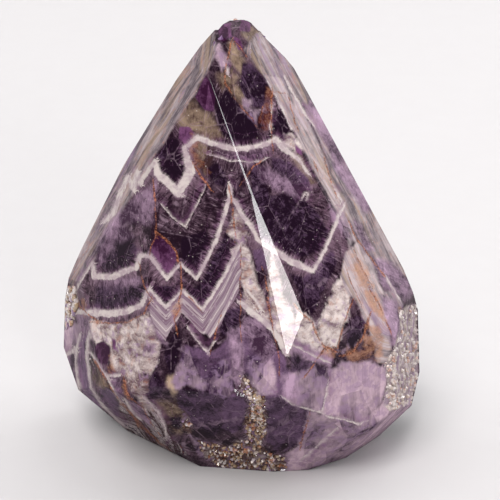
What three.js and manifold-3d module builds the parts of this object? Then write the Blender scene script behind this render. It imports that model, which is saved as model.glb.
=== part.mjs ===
// Chevron amethyst freeform: one natural quartz stone, pear-shaped, about 108 mm wide and 131 mm
// tall, ground and polished into flat facets all round and sawn flat underneath to stand on.
// The natural surface is left on the tip, in a pocket on the left edge, along a seam of small
// crystals low on the front, on the striated right shoulder and in a hollow on the back.
// Millimetres, +Z up, front towards -Y, origin under the middle of the stone on its base.
import * as THREE from 'three';
import { mergeVertices } from 'three/addons/utils/BufferGeometryUtils.js';
import Module from 'manifold-3d';

const wasm = await Module();
wasm.setup();

// Driving dimensions
const ROUGH_BLOCK = 400;
const HEART = new THREE.Vector3(0, 0, 45);
const TIP_CUT_HEIGHT = 125.5;
const SEED = 20;

// Facets, as [the way it faces, its lean, its distance from the heart of the stone].
// 0 degrees faces the front, 90 the right side and -90 the left side. A facet that leans
// back looks upwards, and one with a negative lean undercuts towards the base.
const FRONT_FACETS = [
  [-4.5, 16.5, 38.7], // large left face of the front
  [-1.5, 16.5, 38.9], // its lower strip, beside the kite
  [9.5, 21, 41.5], // hair-thin bevel along the front ridge
  [6, 18, 40], // small bright kite below the ridge
  [41.5, 26.5, 39.7], // large right face of the front
  [31.5, 5.5, 41.2], // lower right face
  [-52, 13, 43.6], // left shoulder of the front
];
const LEFT_BEVELS = [
  [-85.5, 34, 51],
  [-78.5, 24, 47],
  [-70, -0.5, 46.6],
  [-110.5, 26.5, 47],
  [-111, 21, 47.5],
  [-103.5, 7.5, 52.3],
];
const RIGHT_BEVELS = [
  [60, 29, 41.8],
  [79, 31.5, 47],
  [74, 2, 48],
  [108, 25.5, 44],
  [93, 21.5, 47.2],
  [104.5, 4.5, 51.6],
];
const LOWER_BEVELS = [
  [-9, -33, 42],
  [6.5, -31.5, 43.5],
  [34, -42, 51.3],
  [53.5, -38.5, 53.7],
  [-45.5, -40, 45.9],
  [96, -37, 59.9],
  [-93, -39.5, 55.8],
];
const BACK_FACETS = [
  [172, 27, 39],
  [-146, 24, 42],
  [143, 23, 41.5],
  [178, 6, 42],
  [-140, 4, 46.5],
  [140, -3, 46],
  [134, -38, 57],
  [-136, -36, 56],
  [176, -40, 54],
];

// Natural tip: a jagged lump with stubby crystals on it, as [x, y, z of the foot, radius, length].
const TIP_LUMP_CENTRE = new THREE.Vector3(-0.6, -0.8, 121);
const TIP_LUMP_RADIUS = 8.8;
const TIP_CRYSTALS = [
  [-5.2, -5.6, 121.6, 3, 8.4],
  [-7, 0.4, 119.6, 3.2, 8],
  [-0.6, -2.6, 122.4, 4.4, 8.6],
  [3.4, -2.4, 121, 3.6, 7.6],
  [6.2, 0.6, 118.6, 3.6, 8],
  [-3.4, 3.8, 121, 4, 8],
  [2.6, 4, 120.4, 3.8, 7.6],
];
const TIP_CRYSTAL_SPREAD = 0.3;
const TIP_OVERHANG = 1.2;

// Seam of small crystals low on the front, as [x, z, radius] of the hollows down its middle.
const SEAM = [
  [-0.6, 40.6, 2.6],
  [1.4, 37, 3],
  [4.4, 33.4, 3.4],
  [7, 29, 3.4],
  [1.8, 27.8, 2.4],
  [7.6, 24.6, 3.2],
  [7.2, 20, 3.4],
  [2, 16, 3.8],
  [6.6, 14.4, 4],
  [-4.6, 12, 3.6],
  [1, 10, 4.6],
  [8.4, 8.6, 4.4],
  [-9.4, 8.8, 3.4],
  [-4, 5.4, 4],
  [3.6, 4, 4.4],
  [11.4, 4, 3.6],
];
const SEAM_DEPTH = 0.42;
const SEAM_CRYSTALS_PER_STEP = 4;
const SEAM_CRYSTAL_RADIUS = 0.85;

// Pocket on the left edge, as [y, z, radius] of the hollows that open into it.
const POCKET = [
  [-2.4, 49.5, 3.4],
  [0.6, 45.5, 4.6],
  [2.6, 41, 5],
  [3.4, 36.5, 4.4],
];
const POCKET_DEPTH = 0.45;
const POCKET_CRYSTALS_PER_STEP = 4;
const POCKET_CRYSTAL_RADIUS = 1.2;

// Striated natural face on the right shoulder: upright furrows, as [y, lowest z, highest z].
const SHOULDER_FURROWS = [
  [-19, 21, 44],
  [-15.5, 17, 50],
  [-12, 15, 47],
  [-8.2, 16, 49],
  [-4.6, 13, 43],
  [-1, 17, 46],
  [2.8, 15, 41],
];
const FURROW_RADIUS = 3.4;
const FURROW_DEPTH = 0.7;

// Small natural hollow on the back, as [x, z, radius].
const BACK_HOLLOW = [
  [17, 52, 4.6],
  [20.5, 46, 5],
  [16, 40.5, 4.2],
  [21, 35.5, 3.6],
];
const BACK_HOLLOW_DEPTH = 0.5;
const BACK_CRYSTALS_PER_STEP = 5;
const BACK_CRYSTAL_RADIUS = 1.3;

// Chips out of the edges, as [x, y, z, radius].
const CHIPS = [
  [-37.6, -8.8, 82.5, 2.6],
  [-12.6, 4.6, 121.5, 2.2],
  [-14, -36.6, 38.4, 1.6],
  [44.6, -21.6, 18.4, 1.8],
];

// A crystal's own proportions, as shares of its length or its radius.
const CRYSTAL_ROOT = 0.5;
const CRYSTAL_TAPER = 0.8;
const CRYSTAL_SHOULDER = 0.62;
const CRYSTAL_LEAN = 0.4;
const CRYSTAL_TILT = 0.5;
const CRYSTAL_SMALLEST = 0.7;
const CRYSTAL_SIZE_RANGE = 0.7;

// How uneven the natural breaks are, and how the furrows run.
const LUMP_JAGGEDNESS = 0.16;
const HOLLOW_REACH = 0.8;
const FURROW_TAPER = 0.8;
const FURROW_SIDES = 7;
const FURROW_TILT = 0.06;
const MERGE_TOLERANCE = 1e-4;

const X_AXIS = new THREE.Vector3(1, 0, 0);
const Y_AXIS = new THREE.Vector3(0, 1, 0);
const Z_AXIS = new THREE.Vector3(0, 0, 1);

function seededRandom(seed) {
  let state = seed;
  return () => {
    state = (state * 16807) % 2147483647;
    return state / 2147483647;
  };
}

const random = seededRandom(SEED);

function spread(amount) {
  return (random() * 2 - 1) * amount;
}

// A closed three.js geometry as a solid that can be joined and cut.
function solidFrom(geometry) {
  const shape = geometry.clone();
  shape.deleteAttribute('normal');
  shape.deleteAttribute('uv');
  const merged = mergeVertices(shape, MERGE_TOLERANCE);
  const corners = merged.index.array;
  const triangles = [];
  for (let i = 0; i < corners.length; i += 3) {
    const [a, b, c] = corners.slice(i, i + 3);
    if (a !== b && b !== c && c !== a) triangles.push(a, b, c);
  }
  return new wasm.Manifold(new wasm.Mesh({
    numProp: 3,
    vertProperties: new Float32Array(merged.attributes.position.array),
    triVerts: new Uint32Array(triangles),
  }));
}

// The outer skin alone: crystals that meet over a hollow can seal off a bubble under them.
function withoutBubbles(solid) {
  return solid.decompose().reduce((largest, shell) => (
    shell.volume() > largest.volume() ? shell : largest
  ));
}

function geometryFrom(solid) {
  const { vertProperties, triVerts } = solid.getMesh();
  const geometry = new THREE.BufferGeometry();
  geometry.setAttribute('position', new THREE.BufferAttribute(vertProperties, 3));
  geometry.setIndex(new THREE.BufferAttribute(triVerts, 1));
  geometry.computeVertexNormals();
  return geometry;
}

function facing(azimuth, lean) {
  const around = THREE.MathUtils.degToRad(azimuth);
  const up = THREE.MathUtils.degToRad(lean);
  return new THREE.Vector3(
    Math.sin(around) * Math.cos(up),
    -Math.cos(around) * Math.cos(up),
    Math.sin(up),
  );
}

// Everything beyond one flat face, which grinding the facet takes away.
function beyond(normal, point) {
  const waste = new THREE.BoxGeometry(ROUGH_BLOCK, ROUGH_BLOCK, ROUGH_BLOCK);
  waste.translate(0, 0, ROUGH_BLOCK / 2);
  waste.applyQuaternion(new THREE.Quaternion().setFromUnitVectors(Z_AXIS, normal));
  waste.translate(point.x, point.y, point.z);
  return solidFrom(waste);
}

// The rough block ground down to its facets, or to faces that lie an allowance outside them.
function groundBlock(allowance) {
  let stone = solidFrom(new THREE.BoxGeometry(ROUGH_BLOCK, ROUGH_BLOCK, ROUGH_BLOCK));
  const facets = [
    ...FRONT_FACETS,
    ...LEFT_BEVELS,
    ...RIGHT_BEVELS,
    ...LOWER_BEVELS,
    ...BACK_FACETS,
  ];
  for (const [azimuth, lean, distance] of facets) {
    const normal = facing(azimuth, lean);
    const point = HEART.clone().addScaledVector(normal, distance + allowance);
    stone = stone.subtract(beyond(normal, point));
  }
  return stone;
}

function polishedBody() {
  return groundBlock(0).subtract(beyond(Z_AXIS, new THREE.Vector3(0, 0, TIP_CUT_HEIGHT)));
}

function sawnFlat(stone) {
  return stone.subtract(beyond(Z_AXIS.clone().negate(), new THREE.Vector3()));
}

// A quartz crystal: a six-sided prism that ends in a six-sided point set off its axis.
function crystal(foot, direction, radius, length) {
  const shape = new THREE.LatheGeometry([
    new THREE.Vector2(0, -length * CRYSTAL_ROOT),
    new THREE.Vector2(radius * CRYSTAL_TAPER, -length * CRYSTAL_ROOT),
    new THREE.Vector2(radius, length * CRYSTAL_SHOULDER),
    new THREE.Vector2(0, length),
  ], 6);
  const position = shape.attributes.position;
  const lean = spread(radius * CRYSTAL_LEAN);
  for (let i = 0; i < position.count; i += 1) {
    if (position.getY(i) > length * CRYSTAL_SHOULDER + MERGE_TOLERANCE) position.setX(i, position.getX(i) + lean);
  }
  shape.rotateY(random() * Math.PI);
  shape.applyQuaternion(new THREE.Quaternion().setFromUnitVectors(Y_AXIS, direction));
  shape.translate(foot.x, foot.y, foot.z);
  return solidFrom(shape);
}

function tilted(normal, amount) {
  const sideways = new THREE.Vector3(spread(amount), spread(amount), spread(amount));
  return normal.clone().add(sideways).normalize();
}

// A jagged lump, which leaves an uneven hollow with flat breaks where it is cut away.
function jaggedLump(centre, radius) {
  const shape = new THREE.IcosahedronGeometry(radius, 1);
  const position = shape.attributes.position;
  const moved = new Map();
  for (let i = 0; i < position.count; i += 1) {
    const corner = new THREE.Vector3().fromBufferAttribute(position, i);
    const key = corner.toArray().map((value) => value.toFixed(2)).join();
    if (!moved.has(key)) moved.set(key, 1 + spread(LUMP_JAGGEDNESS));
    corner.multiplyScalar(moved.get(key)).add(centre);
    position.setXYZ(i, corner.x, corner.y, corner.z);
  }
  return solidFrom(shape);
}

// Where a straight line from outside first meets the polished body, and the facet's normal.
function surfaceFinder(body) {
  const mesh = new THREE.Mesh(geometryFrom(body), new THREE.MeshBasicMaterial());
  return (start, direction) => {
    const [hit] = new THREE.Raycaster(start, direction).intersectObject(mesh);
    return { point: hit.point, normal: hit.face.normal.clone() };
  };
}

// Cuts a chain of uneven hollows along the given places and grows small crystals in them,
// which end at or under the polished face that was ground across them.
function crystalLinedHollow(stone, body, hollows, depth, crystalsPerStep, crystalRadius) {
  let result = stone;
  for (const { point, normal, radius } of hollows) {
    const centre = point.clone().addScaledVector(normal, radius * (1 - depth));
    result = result.subtract(jaggedLump(centre, radius));
  }
  for (const { point, normal, radius } of hollows) {
    for (let i = 0; i < crystalsPerStep; i += 1) {
      const sideways = new THREE.Vector3(spread(radius), spread(radius), spread(radius));
      const foot = point.clone().addScaledVector(normal, -radius * depth);
      foot.addScaledVector(sideways.projectOnPlane(normal), HOLLOW_REACH);
      const size = crystalRadius * (CRYSTAL_SMALLEST + random() * CRYSTAL_SIZE_RANGE);
      const grown = crystal(foot, tilted(normal, CRYSTAL_TILT), size, radius * depth);
      result = result.add(grown.intersect(body));
    }
  }
  return result;
}

// Hollows on the polished body, each found by looking from outside at two of its coordinates.
function hollowsAlong(places, find, startFor, direction) {
  return places.map((place) => ({
    ...find(startFor(place), direction),
    radius: place[2],
  }));
}

function grooved(stone, find) {
  let result = stone;
  for (const [y, low, high] of SHOULDER_FURROWS) {
    const middle = (low + high) / 2;
    const { point, normal } = find(new THREE.Vector3(ROUGH_BLOCK, y, middle), X_AXIS.clone().negate());
    const furrow = new THREE.CylinderGeometry(
      FURROW_RADIUS,
      FURROW_RADIUS * FURROW_TAPER,
      high - low,
      FURROW_SIDES,
    );
    const along = Z_AXIS.clone().addScaledVector(Y_AXIS, spread(FURROW_TILT));
    along.projectOnPlane(normal).normalize();
    furrow.applyQuaternion(new THREE.Quaternion().setFromUnitVectors(Y_AXIS, along));
    const centre = point.clone().addScaledVector(normal, FURROW_RADIUS - FURROW_DEPTH);
    furrow.translate(centre.x, centre.y, centre.z);
    result = result.subtract(solidFrom(furrow));
  }
  return result;
}

function tipped(stone) {
  let tip = jaggedLump(TIP_LUMP_CENTRE, TIP_LUMP_RADIUS);
  for (const [x, y, z, radius, length] of TIP_CRYSTALS) {
    const direction = tilted(Z_AXIS, TIP_CRYSTAL_SPREAD);
    tip = tip.add(crystal(new THREE.Vector3(x, y, z), direction, radius, length));
  }
  return stone.add(tip.intersect(groundBlock(TIP_OVERHANG)));
}

function chipped(stone) {
  let result = stone;
  for (const [x, y, z, radius] of CHIPS) {
    result = result.subtract(jaggedLump(new THREE.Vector3(x, y, z), radius));
  }
  return result;
}

function stoneGeometry() {
  const body = polishedBody();
  const find = surfaceFinder(body);
  const inFront = ([x, z]) => new THREE.Vector3(x, -ROUGH_BLOCK, z);
  const onTheLeft = ([y, z]) => new THREE.Vector3(-ROUGH_BLOCK, y, z);
  const behind = ([x, z]) => new THREE.Vector3(x, ROUGH_BLOCK, z);
  const seam = hollowsAlong(SEAM, find, inFront, Y_AXIS);
  const pocket = hollowsAlong(POCKET, find, onTheLeft, X_AXIS);
  const back = hollowsAlong(BACK_HOLLOW, find, behind, Y_AXIS.clone().negate());
  let stone = chipped(grooved(body, find));
  for (const [hollows, depth, crystals, radius] of [
    [seam, SEAM_DEPTH, SEAM_CRYSTALS_PER_STEP, SEAM_CRYSTAL_RADIUS],
    [pocket, POCKET_DEPTH, POCKET_CRYSTALS_PER_STEP, POCKET_CRYSTAL_RADIUS],
    [back, BACK_HOLLOW_DEPTH, BACK_CRYSTALS_PER_STEP, BACK_CRYSTAL_RADIUS],
  ]) {
    stone = crystalLinedHollow(stone, body, hollows, depth, crystals, radius);
  }
  return geometryFrom(withoutBubbles(sawnFlat(tipped(stone))));
}

const geometry = stoneGeometry();
geometry.computeBoundingBox();
const middle = geometry.boundingBox.getCenter(new THREE.Vector3());
geometry.translate(-middle.x, -middle.y, 0);

const polishedAmethyst = new THREE.MeshStandardMaterial({
  color: 0x5d4a66,
  roughness: 0.15,
  metalness: 0,
  flatShading: true,
});

const stone = new THREE.Mesh(geometry, polishedAmethyst);
stone.name = 'chevron_amethyst';

const group = new THREE.Group();
group.add(stone);

export default group;
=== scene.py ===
# %% [markdown]
# # A polished chevron amethyst
# This lesson dresses one natural stone: a pear-shaped amethyst with white zigzag bands, ground
# and polished into flat facets, with its rough crystal surface left in a few places. The solid
# from the workshop gives the size and the place. Everything here fits inside its box.

# %% Load the frame
import math
import random

import bpy
import numpy as np
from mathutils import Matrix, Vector, noise


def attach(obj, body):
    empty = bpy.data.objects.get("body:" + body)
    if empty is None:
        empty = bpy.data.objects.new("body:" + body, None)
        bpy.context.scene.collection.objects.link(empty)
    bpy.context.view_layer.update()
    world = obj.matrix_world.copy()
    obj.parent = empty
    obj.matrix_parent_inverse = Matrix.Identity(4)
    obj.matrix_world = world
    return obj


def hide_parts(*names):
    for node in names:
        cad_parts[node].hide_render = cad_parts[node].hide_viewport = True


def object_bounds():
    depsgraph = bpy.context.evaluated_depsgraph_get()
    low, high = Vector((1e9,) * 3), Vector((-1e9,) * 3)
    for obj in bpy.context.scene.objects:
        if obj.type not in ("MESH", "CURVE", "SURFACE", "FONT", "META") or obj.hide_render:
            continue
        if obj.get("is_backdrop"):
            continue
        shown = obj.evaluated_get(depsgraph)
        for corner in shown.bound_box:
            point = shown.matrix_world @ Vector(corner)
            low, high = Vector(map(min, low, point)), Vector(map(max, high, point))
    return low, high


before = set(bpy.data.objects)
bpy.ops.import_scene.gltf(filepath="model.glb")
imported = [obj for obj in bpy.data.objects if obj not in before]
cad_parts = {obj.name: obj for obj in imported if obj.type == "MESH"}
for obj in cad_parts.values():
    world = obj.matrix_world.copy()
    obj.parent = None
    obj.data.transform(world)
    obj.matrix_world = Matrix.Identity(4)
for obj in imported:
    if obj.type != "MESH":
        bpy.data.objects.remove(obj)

MM = 0.001
SEED = 7
random.seed(SEED)
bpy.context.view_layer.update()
NODE = "chevron_amethyst"

# %% [markdown]
# The stone is shaped as a lapidary shapes it: from a block, one flat face at a time. Each facet
# is named by the way it faces, its lean and its distance from the heart of the stone, so a
# facet is one plane, and bisecting a cube with each plane leaves exact flat faces and sharp
# edges. Modelling the corners by hand would need dozens of points that have to stay in plane.

# %% Facets
HEART = Vector((0, 0, 45))
TIP_CUT_HEIGHT = 125.5

FRONT_FACETS = [
    (-4.5, 16.5, 38.7),  # large left face of the front
    (-1.5, 16.5, 38.9),  # its lower strip, beside the kite
    (9.5, 21, 41.5),  # hair-thin bevel along the front ridge
    (6, 18, 40),  # small bright kite below the ridge
    (41.5, 26.5, 39.7),  # large right face of the front
    (31.5, 5.5, 41.2),  # lower right face
    (-52, 13, 43.6),  # left shoulder of the front
]
LEFT_BEVELS = [
    (-85.5, 34, 51),
    (-78.5, 24, 47),
    (-70, -0.5, 46.6),
    (-110.5, 26.5, 47),
    (-111, 21, 47.5),
    (-103.5, 7.5, 52.3),
]
RIGHT_BEVELS = [
    (60, 29, 41.8),
    (79, 31.5, 47),
    (74, 2, 48),
    (108, 25.5, 44),
    (93, 21.5, 47.2),
    (104.5, 4.5, 51.6),
]
LOWER_BEVELS = [
    (-9, -33, 42),
    (6.5, -31.5, 43.5),
    (34, -42, 51.3),
    (53.5, -38.5, 53.7),
    (-45.5, -40, 45.9),
    (96, -37, 59.9),
    (-93, -39.5, 55.8),
]
BACK_FACETS = [
    (172, 27, 39),
    (-146, 24, 42),
    (143, 23, 41.5),
    (178, 6, 42),
    (-140, 4, 46.5),
    (140, -3, 46),
    (134, -38, 57),
    (-136, -36, 56),
    (176, -40, 54),
]


def facing(azimuth, lean):
    """The direction a facet faces: 0 is the front, 90 the right side."""
    around, up = math.radians(azimuth), math.radians(lean)
    return Vector((math.sin(around) * math.cos(up), -math.cos(around) * math.cos(up), math.sin(up)))


planes = []
for azimuth, lean, distance in FRONT_FACETS + LEFT_BEVELS + RIGHT_BEVELS + LOWER_BEVELS + BACK_FACETS:
    normal = facing(azimuth, lean)
    planes.append((normal, HEART + normal * distance))
planes.append((Vector((0, 0, 1)), Vector((0, 0, TIP_CUT_HEIGHT))))
planes.append((Vector((0, 0, -1)), Vector((0, 0, 0))))
print(len(planes), "flat faces, the sawn base and the tip's cut among them")


# %% Grind the block
def edit(obj):
    """Selects one object alone and enters edit mode with everything in it selected."""
    bpy.ops.object.select_all(action="DESELECT")
    bpy.context.view_layer.objects.active = obj
    obj.select_set(True)
    bpy.ops.object.mode_set(mode="EDIT")
    bpy.ops.mesh.select_all(action="SELECT")


def done():
    bpy.ops.object.mode_set(mode="OBJECT")


bpy.ops.object.select_all(action="DESELECT")
bpy.ops.mesh.primitive_cube_add(size=0.3, location=(0, 0, 0.06))
stone = bpy.context.object
stone.name = "amethyst_stone"
bpy.ops.object.transform_apply(location=True, rotation=True, scale=True)
edit(stone)
for normal, point in planes:
    bpy.ops.mesh.select_all(action="SELECT")
    bpy.ops.mesh.bisect(plane_co=point * MM, plane_no=normal, use_fill=True, clear_outer=True)
bpy.ops.mesh.select_all(action="SELECT")
bpy.ops.mesh.remove_doubles(threshold=0.6 * MM)
done()
corners = np.array([v.co for v in stone.data.vertices])
low, high = corners.min(axis=0), corners.max(axis=0)
SHIFT = Vector((-(low[0] + high[0]) / 2, -(low[1] + high[1]) / 2, 0))
print("ground to", np.round((high - low) / MM, 1), "and moved by", [round(v / MM, 2) for v in SHIFT])

# %% [markdown]
# The camera comes early, because the bands are placed on its 500-pixel picture. It looks
# down on the stone by 22 degrees with a long lens.

# %% Camera
PICTURE = 500
CAMERA_ELEVATION = 22
CAMERA_DISTANCE = 600
FOCAL_PIXELS = 2070
SENSOR = 36
AIM = Vector((2.3, 0, 60.5))
looking = Vector((0, math.cos(math.radians(CAMERA_ELEVATION)), -math.sin(math.radians(CAMERA_ELEVATION))))
eye = AIM - looking * CAMERA_DISTANCE
upwards = Vector((1, 0, 0)).cross(looking)

bpy.ops.object.camera_add(location=eye * MM + SHIFT)
camera = bpy.context.object
camera.name = "camera"
camera.rotation_euler = (math.radians(90 - CAMERA_ELEVATION), 0, 0)
camera.data.sensor_width = SENSOR
camera.data.lens = FOCAL_PIXELS / PICTURE * SENSOR
bpy.context.scene.camera = camera


def on_picture(points):
    """Where points, as rows of millimetres, fall on the picture."""
    away = points - np.array(eye)
    depth = away @ np.array(looking)
    across = PICTURE / 2 + FOCAL_PIXELS * away[:, 0] / depth
    down = PICTURE / 2 - FOCAL_PIXELS * (away @ np.array(upwards)) / depth
    return np.stack([across, down], axis=1)


print("the stone on the picture:", on_picture(corners / MM).min(axis=0), on_picture(corners / MM).max(axis=0))

# %% [markdown]
# Wheels round every edge a little, so the edges catch the light as thin lines. A bevel on the
# real edges does this better than a shading trick. The hair-thin ridge facet is
# already a bevel, so its own edges stay sharp.

# %% Soften the edges
EDGE_ROUNDING = 0.3
RIDGE_BEVEL = facing(9.5, 21)
BEVEL_MATCH = 0.995

import bmesh

edit(stone)
bpy.ops.mesh.select_mode(type="EDGE")
grown = bmesh.from_edit_mesh(stone.data)
for edge in grown.edges:
    beside_ridge = any(face.normal.dot(RIDGE_BEVEL) > BEVEL_MATCH for face in edge.link_faces)
    edge.select_set(not beside_ridge and edge.calc_length() > 2 * EDGE_ROUNDING * MM)
bmesh.update_edit_mesh(stone.data)
bpy.ops.mesh.bevel(offset=EDGE_ROUNDING * MM, segments=2, affect="EDGES", clamp_overlap=True)
bpy.ops.mesh.select_all(action="SELECT")
bpy.ops.mesh.quads_convert_to_tris()
done()
print("after the bevel:", len(stone.data.polygons), "faces")

# %% [markdown]
# The tip is the natural end of the cluster, where crystals grew through each other. It is a small
# block cut by planes that face upwards at random, so that it has the flat faces and blunt edges
# of such crystals, and by the facets a little further out, where the wheel just touched it.

# %% The natural tip
TIP_MIDDLE = Vector((-0.6, -0.8, 121.6))
TIP_RADIUS = (7.2, 8.9)
TIP_OVERHANG = 0.12
TIP_FACES = 46
TIP_FOOT = 118

bpy.ops.object.select_all(action="DESELECT")
bpy.ops.mesh.primitive_cube_add(size=0.03, location=TIP_MIDDLE * MM)
tip = bpy.context.object
bpy.ops.object.transform_apply(location=True, rotation=True, scale=True)
tip_planes = [(normal, point + normal * TIP_OVERHANG) for normal, point in planes[:-2]]
for _ in range(TIP_FACES):
    normal = facing(random.uniform(-180, 180), random.uniform(5, 88))
    tip_planes.append((normal, TIP_MIDDLE + normal * random.uniform(*TIP_RADIUS)))
tip_planes.append((Vector((0, 0, -1)), Vector((0, 0, TIP_FOOT))))
edit(tip)
for normal, point in tip_planes:
    bpy.ops.mesh.select_all(action="SELECT")
    bpy.ops.mesh.bisect(plane_co=point * MM, plane_no=normal, use_fill=True, clear_outer=True)
bpy.ops.mesh.select_all(action="SELECT")
bpy.ops.mesh.quads_convert_to_tris()
done()
stone.select_set(True)
bpy.context.view_layer.objects.active = stone
bpy.ops.object.join()
print("the tip reaches", round(max(v.co.z for v in stone.data.vertices) / MM, 1), "mm")

# %% [markdown]
# The bands are carried by the points of the mesh, as distances to lines drawn on the stone, and
# the rough patches need points to move. So the flat faces are cut finely: every edge longer than
# a limit is halved until none is left, finest on the faces that look at the camera. The new
# points stay in the planes of their facets, so the polish stays flat.

# %% Cut the faces finely
FINE = 1.0
MIDDLING = 1.5
COARSE = 3.0
SQUARE_ON = 0.45
PASSES = 9


def edge_limit(edge, viewpoint):
    """How long an edge may be, by how squarely its faces look at the camera."""
    middle = (edge.verts[0].co + edge.verts[1].co) / 2
    towards = (viewpoint - middle).normalized()
    squareness = max(face.normal.dot(towards) for face in edge.link_faces)
    if squareness > SQUARE_ON:
        return FINE * MM
    return (MIDDLING if squareness > 0 else COARSE) * MM


def halve_long_edges(obj):
    """One pass: halves each edge that is too long for its side of the stone."""
    edit(obj)
    bpy.ops.mesh.select_mode(type="EDGE")
    mesh = bmesh.from_edit_mesh(obj.data)
    viewpoint = eye * MM
    long_ones = 0
    for item in mesh.edges:
        too_long = item.calc_length() > edge_limit(item, viewpoint)
        item.select_set(too_long)
        long_ones += too_long
    bmesh.update_edit_mesh(obj.data)
    if long_ones:
        bpy.ops.mesh.subdivide(number_cuts=1, smoothness=0)
        bpy.ops.mesh.select_all(action="SELECT")
        bpy.ops.mesh.quads_convert_to_tris()
    done()
    return long_ones


for turn in range(PASSES):
    if not halve_long_edges(stone):
        break
print("cut finely:", len(stone.data.vertices), "points,", len(stone.data.polygons), "triangles")

# %% [markdown]
# Chevron amethyst grew in layers: purple, then white, then purple again, each layer following
# the zigzag of crystal tips under it. The bands are drawn as lines on two charts. The front chart
# is the 500-pixel picture itself, and the back chart unrolls the hidden side, with the azimuth
# across and the height down, at the same scale. Each point of the mesh then learns how far it is
# from the nearest line and on which side, which stays sharp between points where a painted
# colour would blur.

# %% The two charts
PIXEL = 0.29
PIXELS_PER_DEGREE = 2.7
CHART_TOP = 130


def on_back_chart(points):
    """The hidden side unrolled: 0 across is straight behind, and down is from the tip."""
    azimuth = np.degrees(np.arctan2(points[:, 0], -points[:, 1])) % 360
    return np.stack([(azimuth - 180) * PIXELS_PER_DEGREE, (CHART_TOP - points[:, 2]) / PIXEL], axis=1)


def measure(points, line, widths):
    """Signed distance to a line, positive below it, how far along it, and its width there."""
    distance = np.full(len(points), 1e9)
    along = np.zeros(len(points))
    width = np.ones(len(points))
    start = 0
    for a, b, wide_a, wide_b in zip(line[:-1], line[1:], widths[:-1], widths[1:]):
        a, step = np.array(a, float), np.subtract(b, a).astype(float)
        length = math.hypot(*step)
        part = np.clip((points - a) @ step / length**2, 0, 1)
        offset = points - a - part[:, None] * step
        away = np.hypot(offset[:, 0], offset[:, 1])
        closer = away < np.abs(distance)
        side = np.where(step[0] * offset[:, 1] - step[1] * offset[:, 0] < 0, -1, 1)
        distance = np.where(closer, away * side, distance)
        along = np.where(closer, start + part * length, along)
        width = np.where(closer, wide_a + part * (wide_b - wide_a), width)
        start += length
    return distance, along, width


def inside(points, outline):
    """True where a point lies in the outline, by counting the edges to its right."""
    result = np.zeros(len(points), bool)
    for (ax, ay), (bx, by) in zip(outline, outline[1:] + outline[:1]):
        if ay == by:
            continue
        crosses = (ay > points[:, 1]) != (by > points[:, 1])
        reach = (bx - ax) * (points[:, 1] - ay) / (by - ay) + ax
        result ^= crosses & (points[:, 0] < reach)
    return result


def patch(points, outline, softness):
    """1 inside an outline and 0 outside, with an edge of the given softness."""
    distance, _, _ = measure(points, outline + outline[:1], [1] * (len(outline) + 1))
    distance = np.where(inside(points, outline), -np.abs(distance), np.abs(distance))
    return np.clip(0.5 - distance / softness, 0, 1)


coordinates = np.array([v.co for v in stone.data.vertices]) / MM
normals = np.array([v.normal for v in stone.data.vertices])
towards_eye = np.array(eye) - coordinates
in_view = (normals * towards_eye).sum(axis=1) > 0
charted = np.where(in_view[:, None], on_picture(coordinates), on_back_chart(coordinates))
print(in_view.sum(), "points on the front chart,", (~in_view).sum(), "on the back chart")

# %% [markdown]
# The white lines, each with its half-width and its corners on the front chart, and after them a
# few painted glints drawn the same way. They run from left to right, so that below each line is
# outwards in the growth.

# %% White bands in front
UPPER_BAND = [
    (104, 222), (113, 214), (121, 192), (128, 177), (134, 190), (137, 172), (140, 183), (155, 161),
    (157, 173), (178.5, 193), (191, 171), (184, 148), (197, 138), (214, 144), (235, 149), (248, 148.5),
    (260, 145.5), (268, 143), (276, 139), (284, 149), (297, 158), (309, 174),
]
UPPER_WIDTHS = [
    2, 2.6, 2.2, 2.2, 2.4, 2, 2, 2,
    3.4, 4.4, 4.6, 2, 2.6, 2, 2.4, 2.2,
    2, 2.4, 2.4, 3, 1.6, 1.2,
]
MIDDLE_BAND = [
    (76.5, 289), (92.5, 263), (94, 277), (114, 277), (124, 272), (136, 268), (140, 256), (149, 255.5),
    (167, 279), (180, 263.5), (196.5, 279), (207, 260), (217, 238), (224.5, 216), (229.6, 199), (235, 201),
    (243.5, 218), (251.5, 226), (257.5, 240), (267, 247), (277, 252), (291, 262), (306.5, 268.5), (313, 271.5),
    (322, 256), (331, 236.5), (338.5, 217), (344, 205),
]
MIDDLE_WIDTHS = [
    0.8, 0.8, 2.4, 3, 2.6, 2, 2, 2,
    1.5, 1.2, 1.5, 1.4, 1.5, 1.6, 2, 1.8,
    1.8, 2, 1.8, 2, 2.4, 2.8, 2.8, 2,
    1.5, 1.4, 1.5, 1,
]
LOWER_BAND = [
    (64, 316), (78, 312), (93, 313), (110, 314), (128, 311), (142, 305), (149, 289), (166, 308),
    (182, 290), (203, 310), (224, 277), (236, 252), (241, 245),
]
LOWER_WIDTHS = [1.5, 2, 3.2, 3.4, 3, 2.4, 1.4, 1.4, 1.2, 1.2, 1.2, 1.2, 1.2]
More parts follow.
